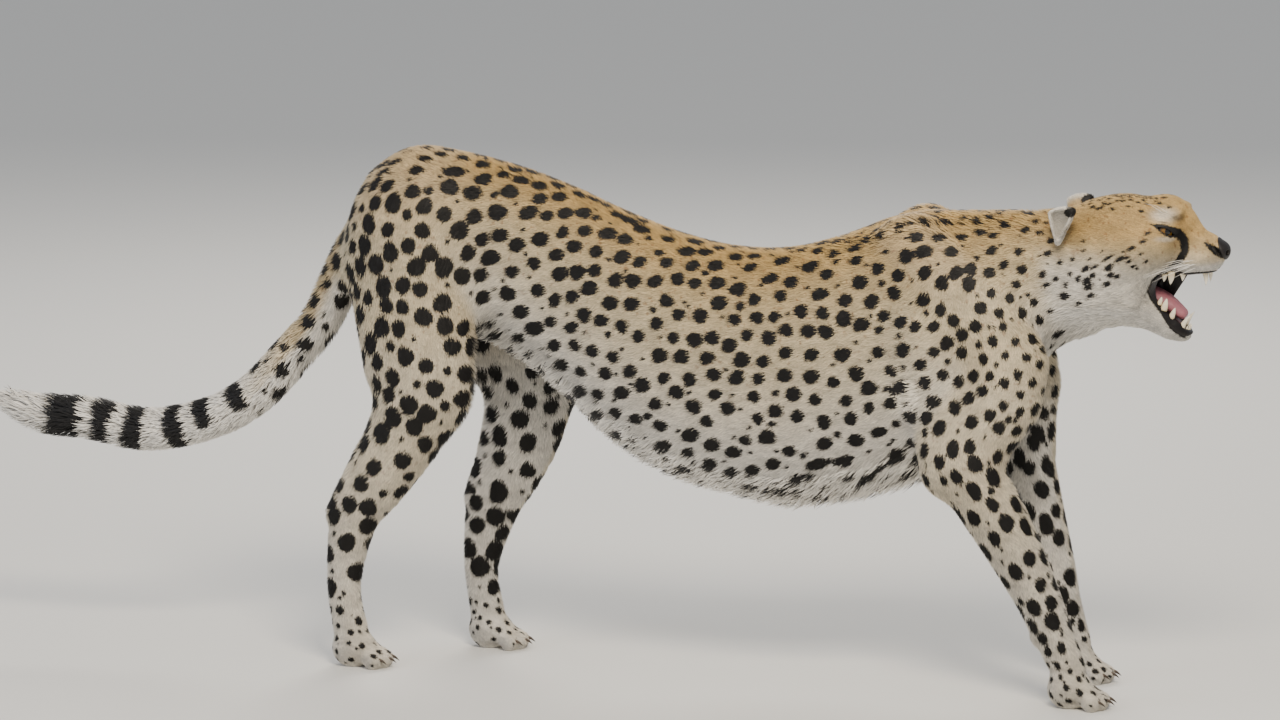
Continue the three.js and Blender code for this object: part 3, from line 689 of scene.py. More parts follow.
def groundOf(at, normals, part):  # how pale and how golden the ground colour is
    x, y, z = at.T
    high, head, onEar, earBack = [part[n] for n in ("high", "head", "onEar", "earBack")]
    onTail, onLeg, onLimb = [part[n] for n in ("onTail", "onLeg", "onLimb")]
    inner = smoothStep(0.1, 0.6, -normals[:, 1] * np.sign(y))
    under = smoothStep(0.2, 0.75, -normals[:, 2])
    pale = np.maximum((1 - smoothStep(0.08, 0.72, high)) * 0.95, 0.95 * under)
    gold = smoothStep(0.62, 1.02, high)
    pale += (np.maximum(0.12 + 0.2 * smoothStep(520, 400, z), 0.9 * under) - pale) * onLimb
    limbGold = np.where(x > 100, np.maximum(gold, 0.9 * smoothStep(560, 665, z)),
                        0.85 * smoothStep(590, 735, z))
    gold += (limbGold - gold) * onLimb
    legPale = np.maximum(0.34 + 0.40 * smoothStep(330, 120, z), 0.95 * inner)
    pale += (legPale - pale) * onLeg
    gold *= 1 - onLeg
    tailPale = np.maximum(smoothStep(-480, -600, x) * 0.9,
                          smoothStep(0.35, -0.25, normals[:, 2] - 0.3 * normals[:, 0]))
    pale += (tailPale - pale) * onTail
    gold += (0.35 * (1 - tailPale) - gold) * onTail
    face = np.maximum(0.82 * smoothStep(640, 592, z), smoothStep(585, 545, z))
    face = np.maximum(face, smoothStep(20, 8, mouthField(x, z)) * smoothStep(742, 764, x))
    face = np.maximum(face, 0.62 * hillAt(at, [749, 38, 681], [20, 18, 11], 0.0, 1.5))
    face = np.maximum(face, 0.55 * hillAt(at, [747, 44, 650], [16, 12, 4], 0.3, 1.6))
    pale += (face - pale) * head
    cheek = hillAt(at, [735, 50, 630], [36, 40, 24], 0.2, 1.3)
    faceGold = 0.86 * smoothStep(606, 662, z) * (1 - 0.45 * cheek)
    gold += (faceGold * (1 - face) - gold) * head
    pale += (0.84 - 0.74 * earBack - pale) * onEar
    gold += (0.8 * earBack - gold) * onEar
    return np.clip(pale, 0, 1), np.clip(gold, 0, 1)


def lengthOf(at, part):
    x, _, z = at.T
    head, onEar, onTail, onLeg = [part[n] for n in ("head", "onEar", "onTail", "onLeg")]
    n = coatLength
    length = n["body"] + n["belly"] * part["belly"] + n["nape"] * part["nape"]
    length += n["thigh"] * smoothStep(-300, -380, x) * smoothStep(640, 520, z) * (1 - onTail)
    length += (n["shin"] - length) * onLeg * smoothStep(360, 200, z)
    length += n["elbow"] * hillAt(at, [415, 90, 430], [45, 40, 45], 0.3, 1.2)
    tailLength = n["tail"] + n["tailEnd"] * smoothStep(-700, -940, x)
    length += (tailLength - length) * onTail * smoothStep(-420, -520, x)
    length += (n["paw"] - length) * smoothStep(90, 40, z)
    length += (n["head"] - length) * head
    length += n["throat"] * head * smoothStep(600, 560, z) * (1 - smoothStep(700, 740, x))
    length += (n["muzzle"] - length) * head * smoothStep(690, 775, x)
    length += (n["ear"] + 2 * part["inEar"] - length) * onEar
    return length


coat = regionsOf(points)
coat["pale"], coat["gold"] = groundOf(points, normals, coat)
coat["length"] = lengthOf(points, coat)
coat["tone"] = 1 - 0.5 * coat["inEar"]  # painted shade: the coat is darkened in the hollow of the ear as if in shadow


# Spots: for each part of the body the distance between them, their radius and how drawn out they are.
spotKit = dict(
    firstGap=0.78, lastGap=0.82, rounds=12, samples=30000, pull=0.65, sizes=(0.82, 1.1), drawn=(0.93, 1.1),
    smallTries=9000, smallSizes=(0.28, 0.5, 0.62), smallShares=(0.45, 0.3, 0.25), smallClear=0.42,
    smallApart=26)


def spotPlan(at, coat):
    x, _, z = at.T
    gap, size, drawn = np.full(len(at), 30.0), np.full(len(at), 10.4), np.full(len(at), 1.12)
    flank = (1 - coat["onLimb"]) * (1 - coat["head"])

    def toward(weight, newGap, newSize):
        nonlocal gap, size
        gap = gap + (newGap - gap) * weight
        size = size + (newSize - size) * weight
    toward(smoothStep(-120, -260, x), 30.5, 12.6)
    toward(flank * smoothStep(0.34, 0.10, coat["high"]), 38, 9.6)
    toward(flank * smoothStep(0.10, 0.0, coat["high"]), 56, 8.6)
    toward(smoothStep(380, 440, x), 24.5, 9.4)
    toward(smoothStep(0.80, 1.0, coat["high"]), 24, 8.4)
    toward(smoothStep(470, 560, x), 24, 7.0)
    toward(coat["nape"], 20, 5.6)
    leg = coat["onLeg"]
    toward(leg * smoothStep(0, -100, x) * smoothStep(400, 300, z), 33, 13.3)
    toward(leg * smoothStep(0, 100, x), 28, 9.8)
    toward(smoothStep(120, 50, z), 17, 4.2)
    toward(coat["onTail"], 32, 11.5)
    toward(coat["head"], 16, 4.2)
    toward(coat["head"] * smoothStep(640, 668, z), 9.8, 2.9)
    toward(coat["head"] * smoothStep(680, 694, z), 8.6, 2.8)
    drawn += 0.25 * leg * smoothStep(0, 100, x) + 0.25 * smoothStep(0.78, 0.95, coat["high"])
    drawn += 0.38 * flank * smoothStep(0.36, 0.12, coat["high"])
    drawn += (1.5 - drawn) * coat["head"]
    return gap, size, drawn


def scatter(candidates, at, gap, cell=48.0):  # one after another, each clear of those before
    grid, chosen = {}, []
    for i in candidates:
        p, g = at[i], gap[i]
        kx, ky, kz = (int(c // cell) for c in p)
        near = [q for a in (-1, 0, 1) for b in (-1, 0, 1) for c in (-1, 0, 1)
                for q in grid.get((kx + a, ky + b, kz + c), ())]
        if all((p[0] - q[0])**2 + (p[1] - q[1])**2 + (p[2] - q[2])**2 > ((g + q[3]) / 2)**2 for q in near):
            grid.setdefault((kx, ky, kz), []).append((*p, g))
            chosen.append(i)
    return chosen


def treeOf(at):
    tree = KDTree(len(at))
    for i, p in enumerate(at.tolist()):
        tree.insert(p, i)
    tree.balance()
    return tree


def even(chosen, at, outward):  # moves each spot towards the middle of its share of the skin
    sample = random.choice(len(at), spotKit["samples"], replace=False)
    every, places = treeOf(at), at[chosen]
    for _ in range(spotKit["rounds"]):
        tree = treeOf(places)
        owner = np.array([tree.find(p)[1] for p in at[sample].tolist()])
        count = np.maximum(np.bincount(owner, minlength=len(chosen)), 1)
        sums = np.stack([np.bincount(owner, at[sample, k], len(chosen)) for k in range(3)], 1)
        goal = places * (1 - spotKit["pull"]) + sums / count[:, None] * spotKit["pull"]
        chosen = [every.find(p)[1] for p in goal.tolist()]
        out = outward[chosen]
        places = goal - out * ((goal - at[chosen]) * out).sum(1)[:, None]
    return chosen


spotGap, spotSize, spotDrawn = spotPlan(points, coat)
px, py, pz = points.T
faceSide = (coat["head"] > 0.5) & (pz < 685) & (px > 600)
muzzleTop = (px > 756) & (pz > 600) | (px > 728) & (pz < 690)
tailRinged = px < -560
inside = cavityField(px, py, pz) < 3
free = np.nonzero(~(faceSide | muzzleTop | tailRinged | inside) & (pz > 6) & (coat["onEar"] < 0.5))[0]
chosen = scatter(random.permutation(free).tolist(), points, spotGap * spotKit["firstGap"])
chosen = scatter(even(chosen, points, normals), points, spotGap * spotKit["lastGap"])
spots = []


def addSpot(i, along, radius, drawn):  # at point i of the skin
    spots.append(dict(at=points[i], along=along, out=normals[i], radius=radius, drawn=drawn,
                      ripple=random.uniform(-1, 1, 4)))


for i in sorted(set(chosen) & set(free.tolist())):
    addSpot(i, lay[i], spotSize[i] * random.uniform(*spotKit["sizes"]),
            spotDrawn[i] * random.uniform(*spotKit["drawn"]))
bigSpots = len(spots)
bigTree = treeOf(np.array([s["at"] for s in spots]))
small = []
for i in random.permutation(free)[:spotKit["smallTries"]].tolist():  # smaller ones in the gaps
    _, nearest, away = bigTree.find(points[i].tolist())
    radius = spotSize[i] * random.choice(spotKit["smallSizes"], p=spotKit["smallShares"])
    clear = away - spots[nearest]["radius"] - radius
    if clear <= spotKit["smallClear"] * spotSize[i]:
        continue
    if all(np.linalg.norm(points[i] - at) > spotKit["smallApart"] for at in small[-400:]):
        small.append(points[i])
        addSpot(i, lay[i], radius, spotDrawn[i])
print("spots", bigSpots, "and smaller", len(spots) - bigSpots)

# Marks that every cheetah has in the same place: x, z, length and height in mm, on both sides.
cheekRows = [
    (656, 690, 13, 6), (676, 614, 16, 9), (682, 606, 12, 8), (655, 605, 12, 7), (694, 597, 10, 6),
    (679, 585, 13, 8), (708, 625, 9, 4), (710, 619, 10, 5), (715, 613, 9, 5), (721, 610, 6, 4),
    (733, 620, 7, 4), (725, 632, 8, 3), (645, 594, 14, 10), (649, 580, 15, 9), (653, 567, 12, 8),
    (632, 596, 8, 12), (644, 611, 14, 8), (616, 588, 7, 9), (612, 568, 14, 12), (634, 555, 9, 8),
    (621, 601, 8, 7), (625, 622, 8, 6), (638, 634, 7, 4), (650, 626, 6, 4), (666, 637, 6, 3),
    (662, 594, 5, 3), (698, 638, 6, 3), (638, 649, 6, 4), (606, 616, 9, 7), (602, 594, 8, 9)]
lineBehindEye = [(726, 652, 12, 5), (713, 642, 13, 6), (694, 627, 17, 7), (672, 625, 18, 5),
                 (658, 615, 13, 5), (732, 661, 11, 4.5)]
bodyMarks = [  # x, side, z, along x, along z, radius, how drawn out
    (393, -95, 435, -0.9, -0.42, 7.5, 2.4), (393, 95, 435, -0.9, -0.42, 7.5, 2.4),
    (563, 62, 383, 0.6, -0.8, 8, 2.4), (556, 62, 356, 0.6, -0.8, 8, 2.2), (531, 66, 319, 0.2, -1, 9, 1.8),
    (565, 70, 307, 0.2, -1, 9, 1.6), (552, -62, 370, 0.6, -0.8, 8, 2.4), (530, -66, 330, 0.2, -1, 9, 1.8)]


def onSkin(x, side, z, reach=5.0):  # the outermost point of the skin on that side at x and z
    near = np.nonzero((np.hypot(px - x, pz - z) < reach) & (py * side > 0))[0]
    return near[np.argmax(np.abs(py[near]))]


def inSkin(i, way):  # a direction laid into the skin at point i
    return across(np.array([way], float), normals[i:i + 1])[0]


for rows, rise in ((cheekRows, 0.52), (lineBehindEye, 0.62)):
    for x, z, long, tall in rows:
        for side in (-1, 1):
            i = onSkin(x + side * random.uniform(-0.8, 0.8), side, z + random.uniform(-0.8, 0.8))
            way = [1, 0, rise] if long >= tall else [0.4, 0, 1]
            addSpot(i, inSkin(i, way), min(long, tall) / 2, max(long, tall) / min(long, tall))
for x, y, z, ax, az, radius, drawn in bodyMarks:
    i = int(np.argmin(np.linalg.norm(points - [x, y, z], axis=1)))
    addSpot(i, inSkin(i, [ax, 0, az]), radius, drawn)

tear = np.array([[758, 664, 3.6], [767, 659, 5.0], [775, 647, 5.8], [777, 632, 5.4], [768, 617, 5.0],
                 [757, 606, 6.5], [744, 596, 7.0], [734, 583, 5.5]], float)
nostrilSlit = np.array([[802, 643, 1.6], [809, 638, 3.2], [817, 632, 4.8], [825, 627, 5.4]], float)
earStreak = np.array([[612, 689, 2.6], [618, 698, 3.4], [628, 703, 2.6]], float)
tailRings = [  # x on the middle line, width, and how far down the side it reaches
    (-850, 52, 90), (-791, 30, 90), (-743, 29, 90), (-681, 27, 90), (-634, 25, 9), (-582, 26, 9)]


def lineField(rows, x, z):
    best = np.full(x.shape, 99.0)
    for (ax, az, ar), (bx, bz, br) in zip(rows, rows[1:]):
        t = np.clip(((x - ax) * (bx - ax) + (z - az) * (bz - az)) / ((bx - ax)**2 + (bz - az)**2), 0, 1)
        far = np.hypot(x - ax - t * (bx - ax), z - az - t * (bz - az))
        best = np.minimum(best, far - ar - t * (br - ar))
    return best


def markEdge(at, normals):  # mm outside the nearest black mark, negative inside it
    x, y, z = at.T
    side = np.abs(y)
    edge = np.full(len(at), 9.0)
    tree = treeOf(at)
    for s in spots:
        found = tree.find_range(s["at"].tolist(), s["radius"] * s["drawn"] * 1.25 + 8)
        if not found:
            continue
        index = np.array([f[1] for f in found])
        d = at[index] - s["at"]
        a, b = d @ s["along"], d @ np.cross(s["out"], s["along"])
        turn = np.arctan2(b, a)
        r = s["ripple"]
        wobble = 1 + 0.09 * r[0] * np.sin(2 * turn + 3 * r[1]) + 0.08 * r[2] * np.sin(3 * turn + 3 * r[3])
        far = np.hypot(a / s["drawn"], b) - s["radius"] * wobble
        far = np.where(normals[index] @ s["out"] > 0, far, 9)
        edge[index] = np.minimum(edge[index], far)
    face = (x > 700) & (side > 16)
    edge = np.minimum(edge, np.where(face & (z < 674), lineField(tear, x, z), 9))
    lips = mouthField(x, z) - lipWidth(x, z) - 1.8
    edge = np.minimum(edge, np.where((x > 712) & (x < 776), lips, 9))
    slit = lineField(nostrilSlit, x, z)
    edge = np.minimum(edge, np.where((x > 795) & (side > 8), slit, 9))
    streak = (x > 600) & (x < 640) & (side > 15) & (side < 48)
    edge = np.minimum(edge, np.where(streak, lineField(earStreak, x, z), 9))
    along, up, out, far = eyeFrame(x, y, z)
    rim = slitField(along, up) - np.where(up > -0.8, 4.4, 2.2)
    edge = np.minimum(edge, np.where((out > 0) & (far < eyeball["radius"] + 9) & (x > 715), rim, 9))
    for ringX, width, down in tailRings:
        k = int(np.searchsorted(-tailRow[:, 0], -ringX)) - 1
        t = (ringX - tailRow[k, 0]) / (tailRow[k + 1, 0] - tailRow[k, 0])
        centre = tailRow[k, :3] + t * (tailRow[k + 1, :3] - tailRow[k, :3])
        way = tailRow[k + 1, :3] - tailRow[k, :3]
        way /= np.linalg.norm(way)
        d = at - centre
        ring = np.abs(d @ way) - width / 2 + 1.5 * np.sin(3 * np.arctan2(d[:, 1], d[:, 2]) + ringX)
        ring = np.maximum(ring, -down - d @ np.cross(way, [0, 1, 0]) * np.sign(np.cross(way, [0, 1, 0])[2]))
        edge = np.minimum(edge, np.where((np.linalg.norm(d, axis=1) < 75) & (x < -500), ring, 9))
    onEar = (earShell(x, side, z) < 1) & (x > 560)
    patch = np.hypot((x - 624) * 0.9 + (z - 684) * 0.2, (z - 684) * 1.25 - (x - 624) * 0.3) - 9.0
    edge = np.minimum(edge, np.where(onEar, patch, 9))
    back = np.maximum(side - ear["at"][1] + 9, earShell(x, side, z) + 2) + np.maximum(0, 612 - x) * 0.9
    edge = np.minimum(edge, np.where(onEar, back, 9))
    return np.clip(edge, -9, 9)


skinEdge = markEdge(points, normals)
print("marks on the skin")


# Fur and other finishes. A small function adds a node with its settings and its links.
def linear(code):
    srgb = np.array([int(code[i:i + 2], 16) / 255 for i in (1, 3, 5)])
    return (*np.where(srgb <= 0.04045, srgb / 12.92, ((srgb + 0.055) / 1.055)**2.4), 1.0)


def addNode(tree, kind, settings=None, links=None):
    node = tree.nodes.new(kind)
    for name, value in (settings or {}).items():
        if isinstance(name, int) or name in node.inputs:
            node.inputs[name].default_value = value
        else:
            setattr(node, name, value)
    for name, source in (links or {}).items():
        tree.links.new(source, node.inputs[name])
    return node


def newMaterial(name, finish):
    material = bpy.data.materials.new(name)
    material.use_nodes = True
    tree = material.node_tree
    shader = tree.nodes["Principled BSDF"]
    for socket, value in finish.items():
        shader.inputs[socket].default_value = value
    return material, tree, shader


furColours = dict(gold="#BC9A5C", buff="#D6C5A0", white="#E9E4DA", freckle="#8F6238", black="#0D0A08")
furFinish = {"Roughness": 0.62, "IOR": 1.55, "Specular IOR Level": 0.32, "Sheen Weight": 0.10,
             "Sheen Roughness": 0.4}


def furMaterial(name, onSkin):
    # Guard hair: keratin, dull along its length with a faint sheen. Each tuft is painted darker near the
    # root than at the tip, painted shade for the depth of the coat.
    material, tree, shader = newMaterial(name, furFinish)
    place = addNode(tree, "ShaderNodeTexCoord").outputs["Object"]
    given = {n: addNode(tree, "ShaderNodeAttribute", dict(attribute_name=n)).outputs["Fac"]
             for n in ("pale", "gold", "edge", "onLeg", "tip", "tone")}
    buff, gold, white, brown, black = [linear(furColours[n])
                                       for n in ("buff", "gold", "white", "freckle", "black")]
    ground = addNode(tree, "ShaderNodeMix", {"data_type": "RGBA", 6: buff, 7: gold},
                     {0: given["gold"]}).outputs[2]
    # Freckles are 3 to 5 mm across and lie in loose groups.
    speck = addNode(tree, "ShaderNodeTexNoise", dict(Scale=150.0, Detail=1.0),
                    dict(Vector=place)).outputs[0]
    freckle = addNode(tree, "ShaderNodeMapRange", {"From Min": 0.62, "From Max": 0.71, "To Max": 0.55},
                      dict(Value=speck)).outputs[0]
    ground = addNode(tree, "ShaderNodeMix", {"data_type": "RGBA", 7: brown},
                     {0: freckle, 6: ground}).outputs[2]
    ground = addNode(tree, "ShaderNodeMix", {"data_type": "RGBA", 7: white},
                     {0: given["pale"], 6: ground}).outputs[2]
    # The mottle of a coat that parts here and there, 25 mm across.
    mottle = addNode(tree, "ShaderNodeTexNoise", dict(Scale=40.0, Detail=3.0),
                     dict(Vector=place)).outputs[0]
    shade = addNode(tree, "ShaderNodeMapRange",
                    {"From Min": 0.3, "From Max": 0.7, "To Min": 0.86, "To Max": 1.08},
                    dict(Value=mottle)).outputs[0]
    if onSkin:
        # Flat hair as fine streaks along the body and down the legs. A single hair is 0.1 mm wide, too
        # fine to show, and is drawn about 1 mm wide.
        streaks = []
        for stretch in ((0.12, 1.0, 1.0), (1.0, 1.0, 0.12)):
            turned = addNode(tree, "ShaderNodeMapping", dict(Scale=stretch), dict(Vector=place)).outputs[0]
            streaks.append(addNode(tree, "ShaderNodeTexNoise", dict(Scale=700.0, Detail=2.0),
                                   dict(Vector=turned)).outputs[0])
        grain = addNode(tree, "ShaderNodeMix", dict(data_type="FLOAT"),
                        {0: given["onLeg"], 2: streaks[0], 3: streaks[1]}).outputs[0]
        bump = addNode(tree, "ShaderNodeBump", dict(Strength=0.6, Distance=0.0012),
                       dict(Height=grain)).outputs[0]
        tree.links.new(bump, shader.inputs["Normal"])
        # The streaks are the grain of the flat hair. Their overall darkness matches a tuft near its root,
        # painted shade for the depth of the coat.
        light = addNode(tree, "ShaderNodeMapRange",
                        {"From Min": 0.3, "From Max": 0.7, "To Min": 0.62, "To Max": 0.96},
                        dict(Value=grain)).outputs[0]
    else:
        # Painted shade: a tuft is darker at its root, deep among the others, and lighter at its tip.
        light = addNode(tree, "ShaderNodeMapRange", {"From Max": 0.75, "To Min": 0.66, "To Max": 1.06},
                        dict(Value=given["tip"])).outputs[0]
    # The attribute brings each tuft's random tone and the painted shade in the hollow of the ear.
    tone = addNode(tree, "ShaderNodeMath", dict(operation="MULTIPLY"),
                   {0: light, 1: given["tone"]}).outputs[0]
    shade = addNode(tree, "ShaderNodeMath", dict(operation="MULTIPLY"), {0: shade, 1: tone}).outputs[0]
    grey = addNode(tree, "ShaderNodeCombineColor", {}, {0: shade, 1: shade, 2: shade}).outputs[0]
    lit = addNode(tree, "ShaderNodeMix", {"data_type": "RGBA", "blend_type": "MULTIPLY", 0: 1.0},
                  {6: ground, 7: grey}).outputs[2]
    # A mark's edge wanders by 0.9 mm and fades over 1.6 mm.
    wander = addNode(tree, "ShaderNodeTexNoise", dict(Scale=420.0, Detail=1.0),
                     dict(Vector=place)).outputs[0]
    wander = addNode(tree, "ShaderNodeMapRange",
                     {"From Min": 0.3, "From Max": 0.7, "To Min": -0.9, "To Max": 0.9},
                     dict(Value=wander)).outputs[0]
    edge = addNode(tree, "ShaderNodeMath", dict(operation="ADD"), {0: given["edge"], 1: wander}).outputs[0]
    mark = addNode(tree, "ShaderNodeMapRange", {"From Min": 0.8, "From Max": -0.8},
                   dict(Value=edge)).outputs[0]
    colour = addNode(tree, "ShaderNodeMix", {"data_type": "RGBA", 7: black}, {0: mark, 6: lit}).outputs[2]
    tree.links.new(colour, shader.inputs["Base Color"])
    return material


skinHide = furMaterial("short flat cheetah fur over hide", True)
guardHair = furMaterial("cheetah guard hair in tufts", False)


def numbers(mesh, name, values):
    mesh.attributes.new(name, "FLOAT", "POINT").data.foreach_set("value", np.asarray(values, np.float32))


def addPiece(name, mesh, material, slot, *nodes):
    piece = bpy.data.objects.new(name, mesh)
    bpy.context.scene.collection.objects.link(piece)
    mesh.materials.append(material)
    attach(piece, "root")
    if nodes:
        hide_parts(*nodes)
    return piece


skinMesh = shapeMesh("skin", points, faces)
skinMesh.polygons.foreach_set("use_smooth", np.ones(len(faces), bool))
for name in ("pale", "gold", "onLeg", "tone"):
    numbers(skinMesh, name, coat[name])
numbers(skinMesh, "edge", skinEdge)
bodyNodes = ["head", "lower_jaw", "ear_left", "ear_right", "neck", "chest", "loin", "rump",
             "tail_base", "tail_middle", "tail_end", "tail_tip"]
limbNodes = [part + end for part in ("foreleg", "forepaw", "thigh", "shank", "hock", "hindpaw")
             for end in ("_left", "_right")]
addPiece("skin", skinMesh, skinHide, "coat", *bodyNodes, *limbNodes)
print("skin in place")


# Tufts: each is a thin closed blade rooted in the skin. Short ones have four faces, long ones ten.
# Spacing and width are shares of the length up to longFrom mm; "most" is the most triangles they may take.
tuft = dict(
    spacing=0.205, width=0.165, longFrom=15.0, longWidth=2.7, longSpacing=0.12, sunk=0.8, thick=0.34,
    lowest=0.4, most=1430000, shortFaces=4, longFaces=10, lengths=(0.72, 1.12), widths=(0.8, 1.2),
    lifts=(0.7, 1.0), tones=(0.68, 1.24), droop=10.0, markAt=0.35, patch=0.003)


def tuftDensity(length):  # tufts to a square millimetre
    return np.where(length > tuft["longFrom"], 1 / (tuft["longSpacing"] * length)**2 * 0.85,
                    1 / (tuft["spacing"] * length)**2)


def waves(at, seed, period, turns):  # soft noise from -1 to 1 as a sum of sines
    rng = np.random.default_rng(seed)
    total = np.zeros(len(at))
    for _ in range(turns):
        way = unit(rng.normal(size=(1, 3)))[0] / period * rng.uniform(0.6, 1.7) * 2 * math.pi
        total += np.sin(at @ way + rng.uniform(0, 6.28))
    return total / math.sqrt(turns)


mid = points[faces].mean(1)
faceNormal = unit(normals[faces].sum(1))
faceLength = coat["length"][faces].mean(1)
# No hair inside the mouth, on the lips, eyes and nose pad, or under the soles.
bare = (cavityField(*mid.T) < 1.0) & (mid[:, 0] > 640)
along, up, out, far = eyeFrame(*mid.T)
bare |= (slitField(along, up) < 1.2) & (out > 0) & (far < eyeball["radius"] + 6) & (mid[:, 0] > 715)
bare |= (mouthField(mid[:, 0], mid[:, 2]) < lipWidth(mid[:, 0], mid[:, 2]) + 0.6) & (mid[:, 0] > 715)
bare |= (mid[:, 2] < 5) & (faceNormal[:, 2] < -0.4) | (mid[:, 2] < 1.5)
bare |= (noseRear(mid[:, 0], mid[:, 2]) > 0.8) & (np.abs(mid[:, 1]) < noseHalf(mid[:, 2]))
wanted = np.where(bare, 0.0, areas * tuftDensity(faceLength) * (1 - 0.6 * coat["inEar"][faces].mean(1)))
cost = np.where(faceLength > tuft["longFrom"], tuft["longFaces"], tuft["shortFaces"])
wanted *= min(1.0, tuft["most"] / (wanted * cost).sum())
number = np.floor(wanted + random.random(len(faces))).astype(int)
owner = np.repeat(np.arange(len(faces)), number)
r1, r2 = np.sqrt(random.random(len(owner))), random.random(len(owner))
weights = np.stack([1 - r1, r1 * (1 - r2), r1 * r2], 1)


def carried(values):  # a skin value at the roots
    found = values[faces[owner]]
    return (found * (weights if found.ndim == 2 else weights[:, :, None])).sum(1)


root = carried(points)
rootNormal, rootLay = unit(carried(normals)), carried(lay)
rootPale, rootGold, rootLength = carried(coat["pale"]), carried(coat["gold"]), carried(coat["length"])
long = rootLength > tuft["longFrom"]
print("tufts", len(root), "long", int(long.sum()))

sway = 0.16 * waves(root, 11, 26, 6) + 0.13 * waves(root, 12, 9, 6) + random.normal(0, 0.10, len(root))
sway *= 1 + 0.8 * smoothStep(15, 34, rootLength)
sideways = np.cross(rootNormal, rootLay)
way = across(rootLay * np.cos(sway)[:, None] + sideways * np.sin(sway)[:, None], rootNormal)
sideways = np.cross(rootNormal, way)
reach = rootLength * random.uniform(*tuft["lengths"], len(root)) * (1 + 0.10 * waves(root, 13, 14, 5))
depth = -bodyField(*root.T)
lift = np.clip(depth, 0.8, 16) * random.uniform(*tuft["lifts"], len(root))
tip = root + way * reach[:, None] + rootNormal * lift[:, None]
over = bodyField(*tip.T) + 0.2 - 6 * carried(coat["belly"])
onEarRoot = carried(coat["onEar"]) > 0.3
over = np.where(onEarRoot, -1, over)
tip -= rootNormal * np.clip(over, 0, 9)[:, None]
droop = carried(coat["belly"]) * smoothStep(0.3, -0.5, rootNormal[:, 2])
droop *= random.uniform(0.2, 1.0, len(root))
tip += droop[:, None] * np.array([0, 0, -tuft["droop"]])
width = np.where(long, tuft["longWidth"], tuft["width"] * rootLength)
width *= random.uniform(*tuft["widths"], len(root))
tone = 1 + 0.09 * waves(root * [0.5, 1, 1], 21, 11, 6)
tone += random.normal(0, 1, len(root)) * (0.09 + 0.07 * carried(coat["head"]))
# Each tuft's random tone is multiplied by the painted shade in the hollow of the ear.
tone = np.clip(tone, *tuft["tones"]) * carried(coat["tone"])
# A tuft shows the mark that lies under its middle.
rootEdge = markEdge(root + way * (tuft["markAt"] * reach)[:, None], rootNormal)
ragged = random.normal(0, 0.35, len(root)) + 0.4 * waves(root, 14, 6, 4)
rootEdge += ragged * np.clip(rootLength / 8.5, 0.9, 1.6)


coatLegTop = dict(fore=370, hind=400)  # where a leg's piece of coat meets the trunk's


def pieceOf(at):  # which piece of coat each tuft belongs to
    x, y, z = at.T
    name = np.full(len(at), "", dtype="U20")
    side = np.where(y < 0, "Right", "Left")
    ends = [(-230, "Rump"), (-40, "Loin"), (150, "Flank"), (330, "Ribs"), (470, "Shoulder"), (9999, "Neck")]
    for limit, label in reversed(ends):
        name[x < limit] = np.char.add(label, side[x < limit])
    for legName, limb in zip(legs, limbs):
        low = (z < coatLegTop[legName[:4]]) & (np.sign(y) == legs[legName]["side"])
        low &= (limbField(limb, at.T) < 12) & (trunkField(x, y, z) > 4)
        name[low] = legName[0].upper() + legName[1:]
    onHead = headward(x, z) > headCut["x"]
    name[onHead] = np.char.add("Head", side[onHead])
    name[(x < -400) & (muscleField(tail, at.T) < 4) & (z > 240)] = "Tail"
    return name


def chart(name, at):  # where the roots lie on an unwrap of their part of the body, 0 to 1 each way
    x, y, z = at.T
    if name.startswith("Head"):
        turn = np.arctan2(z - np.interp(x, [560, 700, 830], [620, 610, 620]), np.abs(y) + 4)
        u, v = x, turn
    elif name == "Tail":
        steps = np.append(0, np.cumsum(np.linalg.norm(np.diff(tailRow[:, :3], axis=0), axis=1)))
        u = np.interp(-x, -tailRow[:, 0], steps)
        v = np.arctan2(y - np.interp(-x, -tailRow[:, 0], tailRow[:, 1]),
                       z - np.interp(-x, -tailRow[:, 0], tailRow[:, 2]))
    elif name[:4] in ("Fore", "Hind"):
        leg = legs[name[0].lower() + name[1:]]
        rows = np.array(leg["upper"] + leg["bones"][1:], float)[::-1]
        u = z
        v = np.arctan2(y - leg["side"] * np.interp(z, rows[:, 2], rows[:, 1]),
                       x - np.interp(z, rows[:, 2], rows[:, 0]))
    else:
        middleHeight = np.interp(x, trunkSections[:, 0], trunkSections[:, 1:3].mean(1))
        u, v = x, np.arctan2(z - middleHeight, np.abs(y) + 1)
    flat = np.stack([u, v], 1)
    low, high = flat.min(0), flat.max(0)
    return 0.01 + 0.98 * (flat - low) / (high - low)


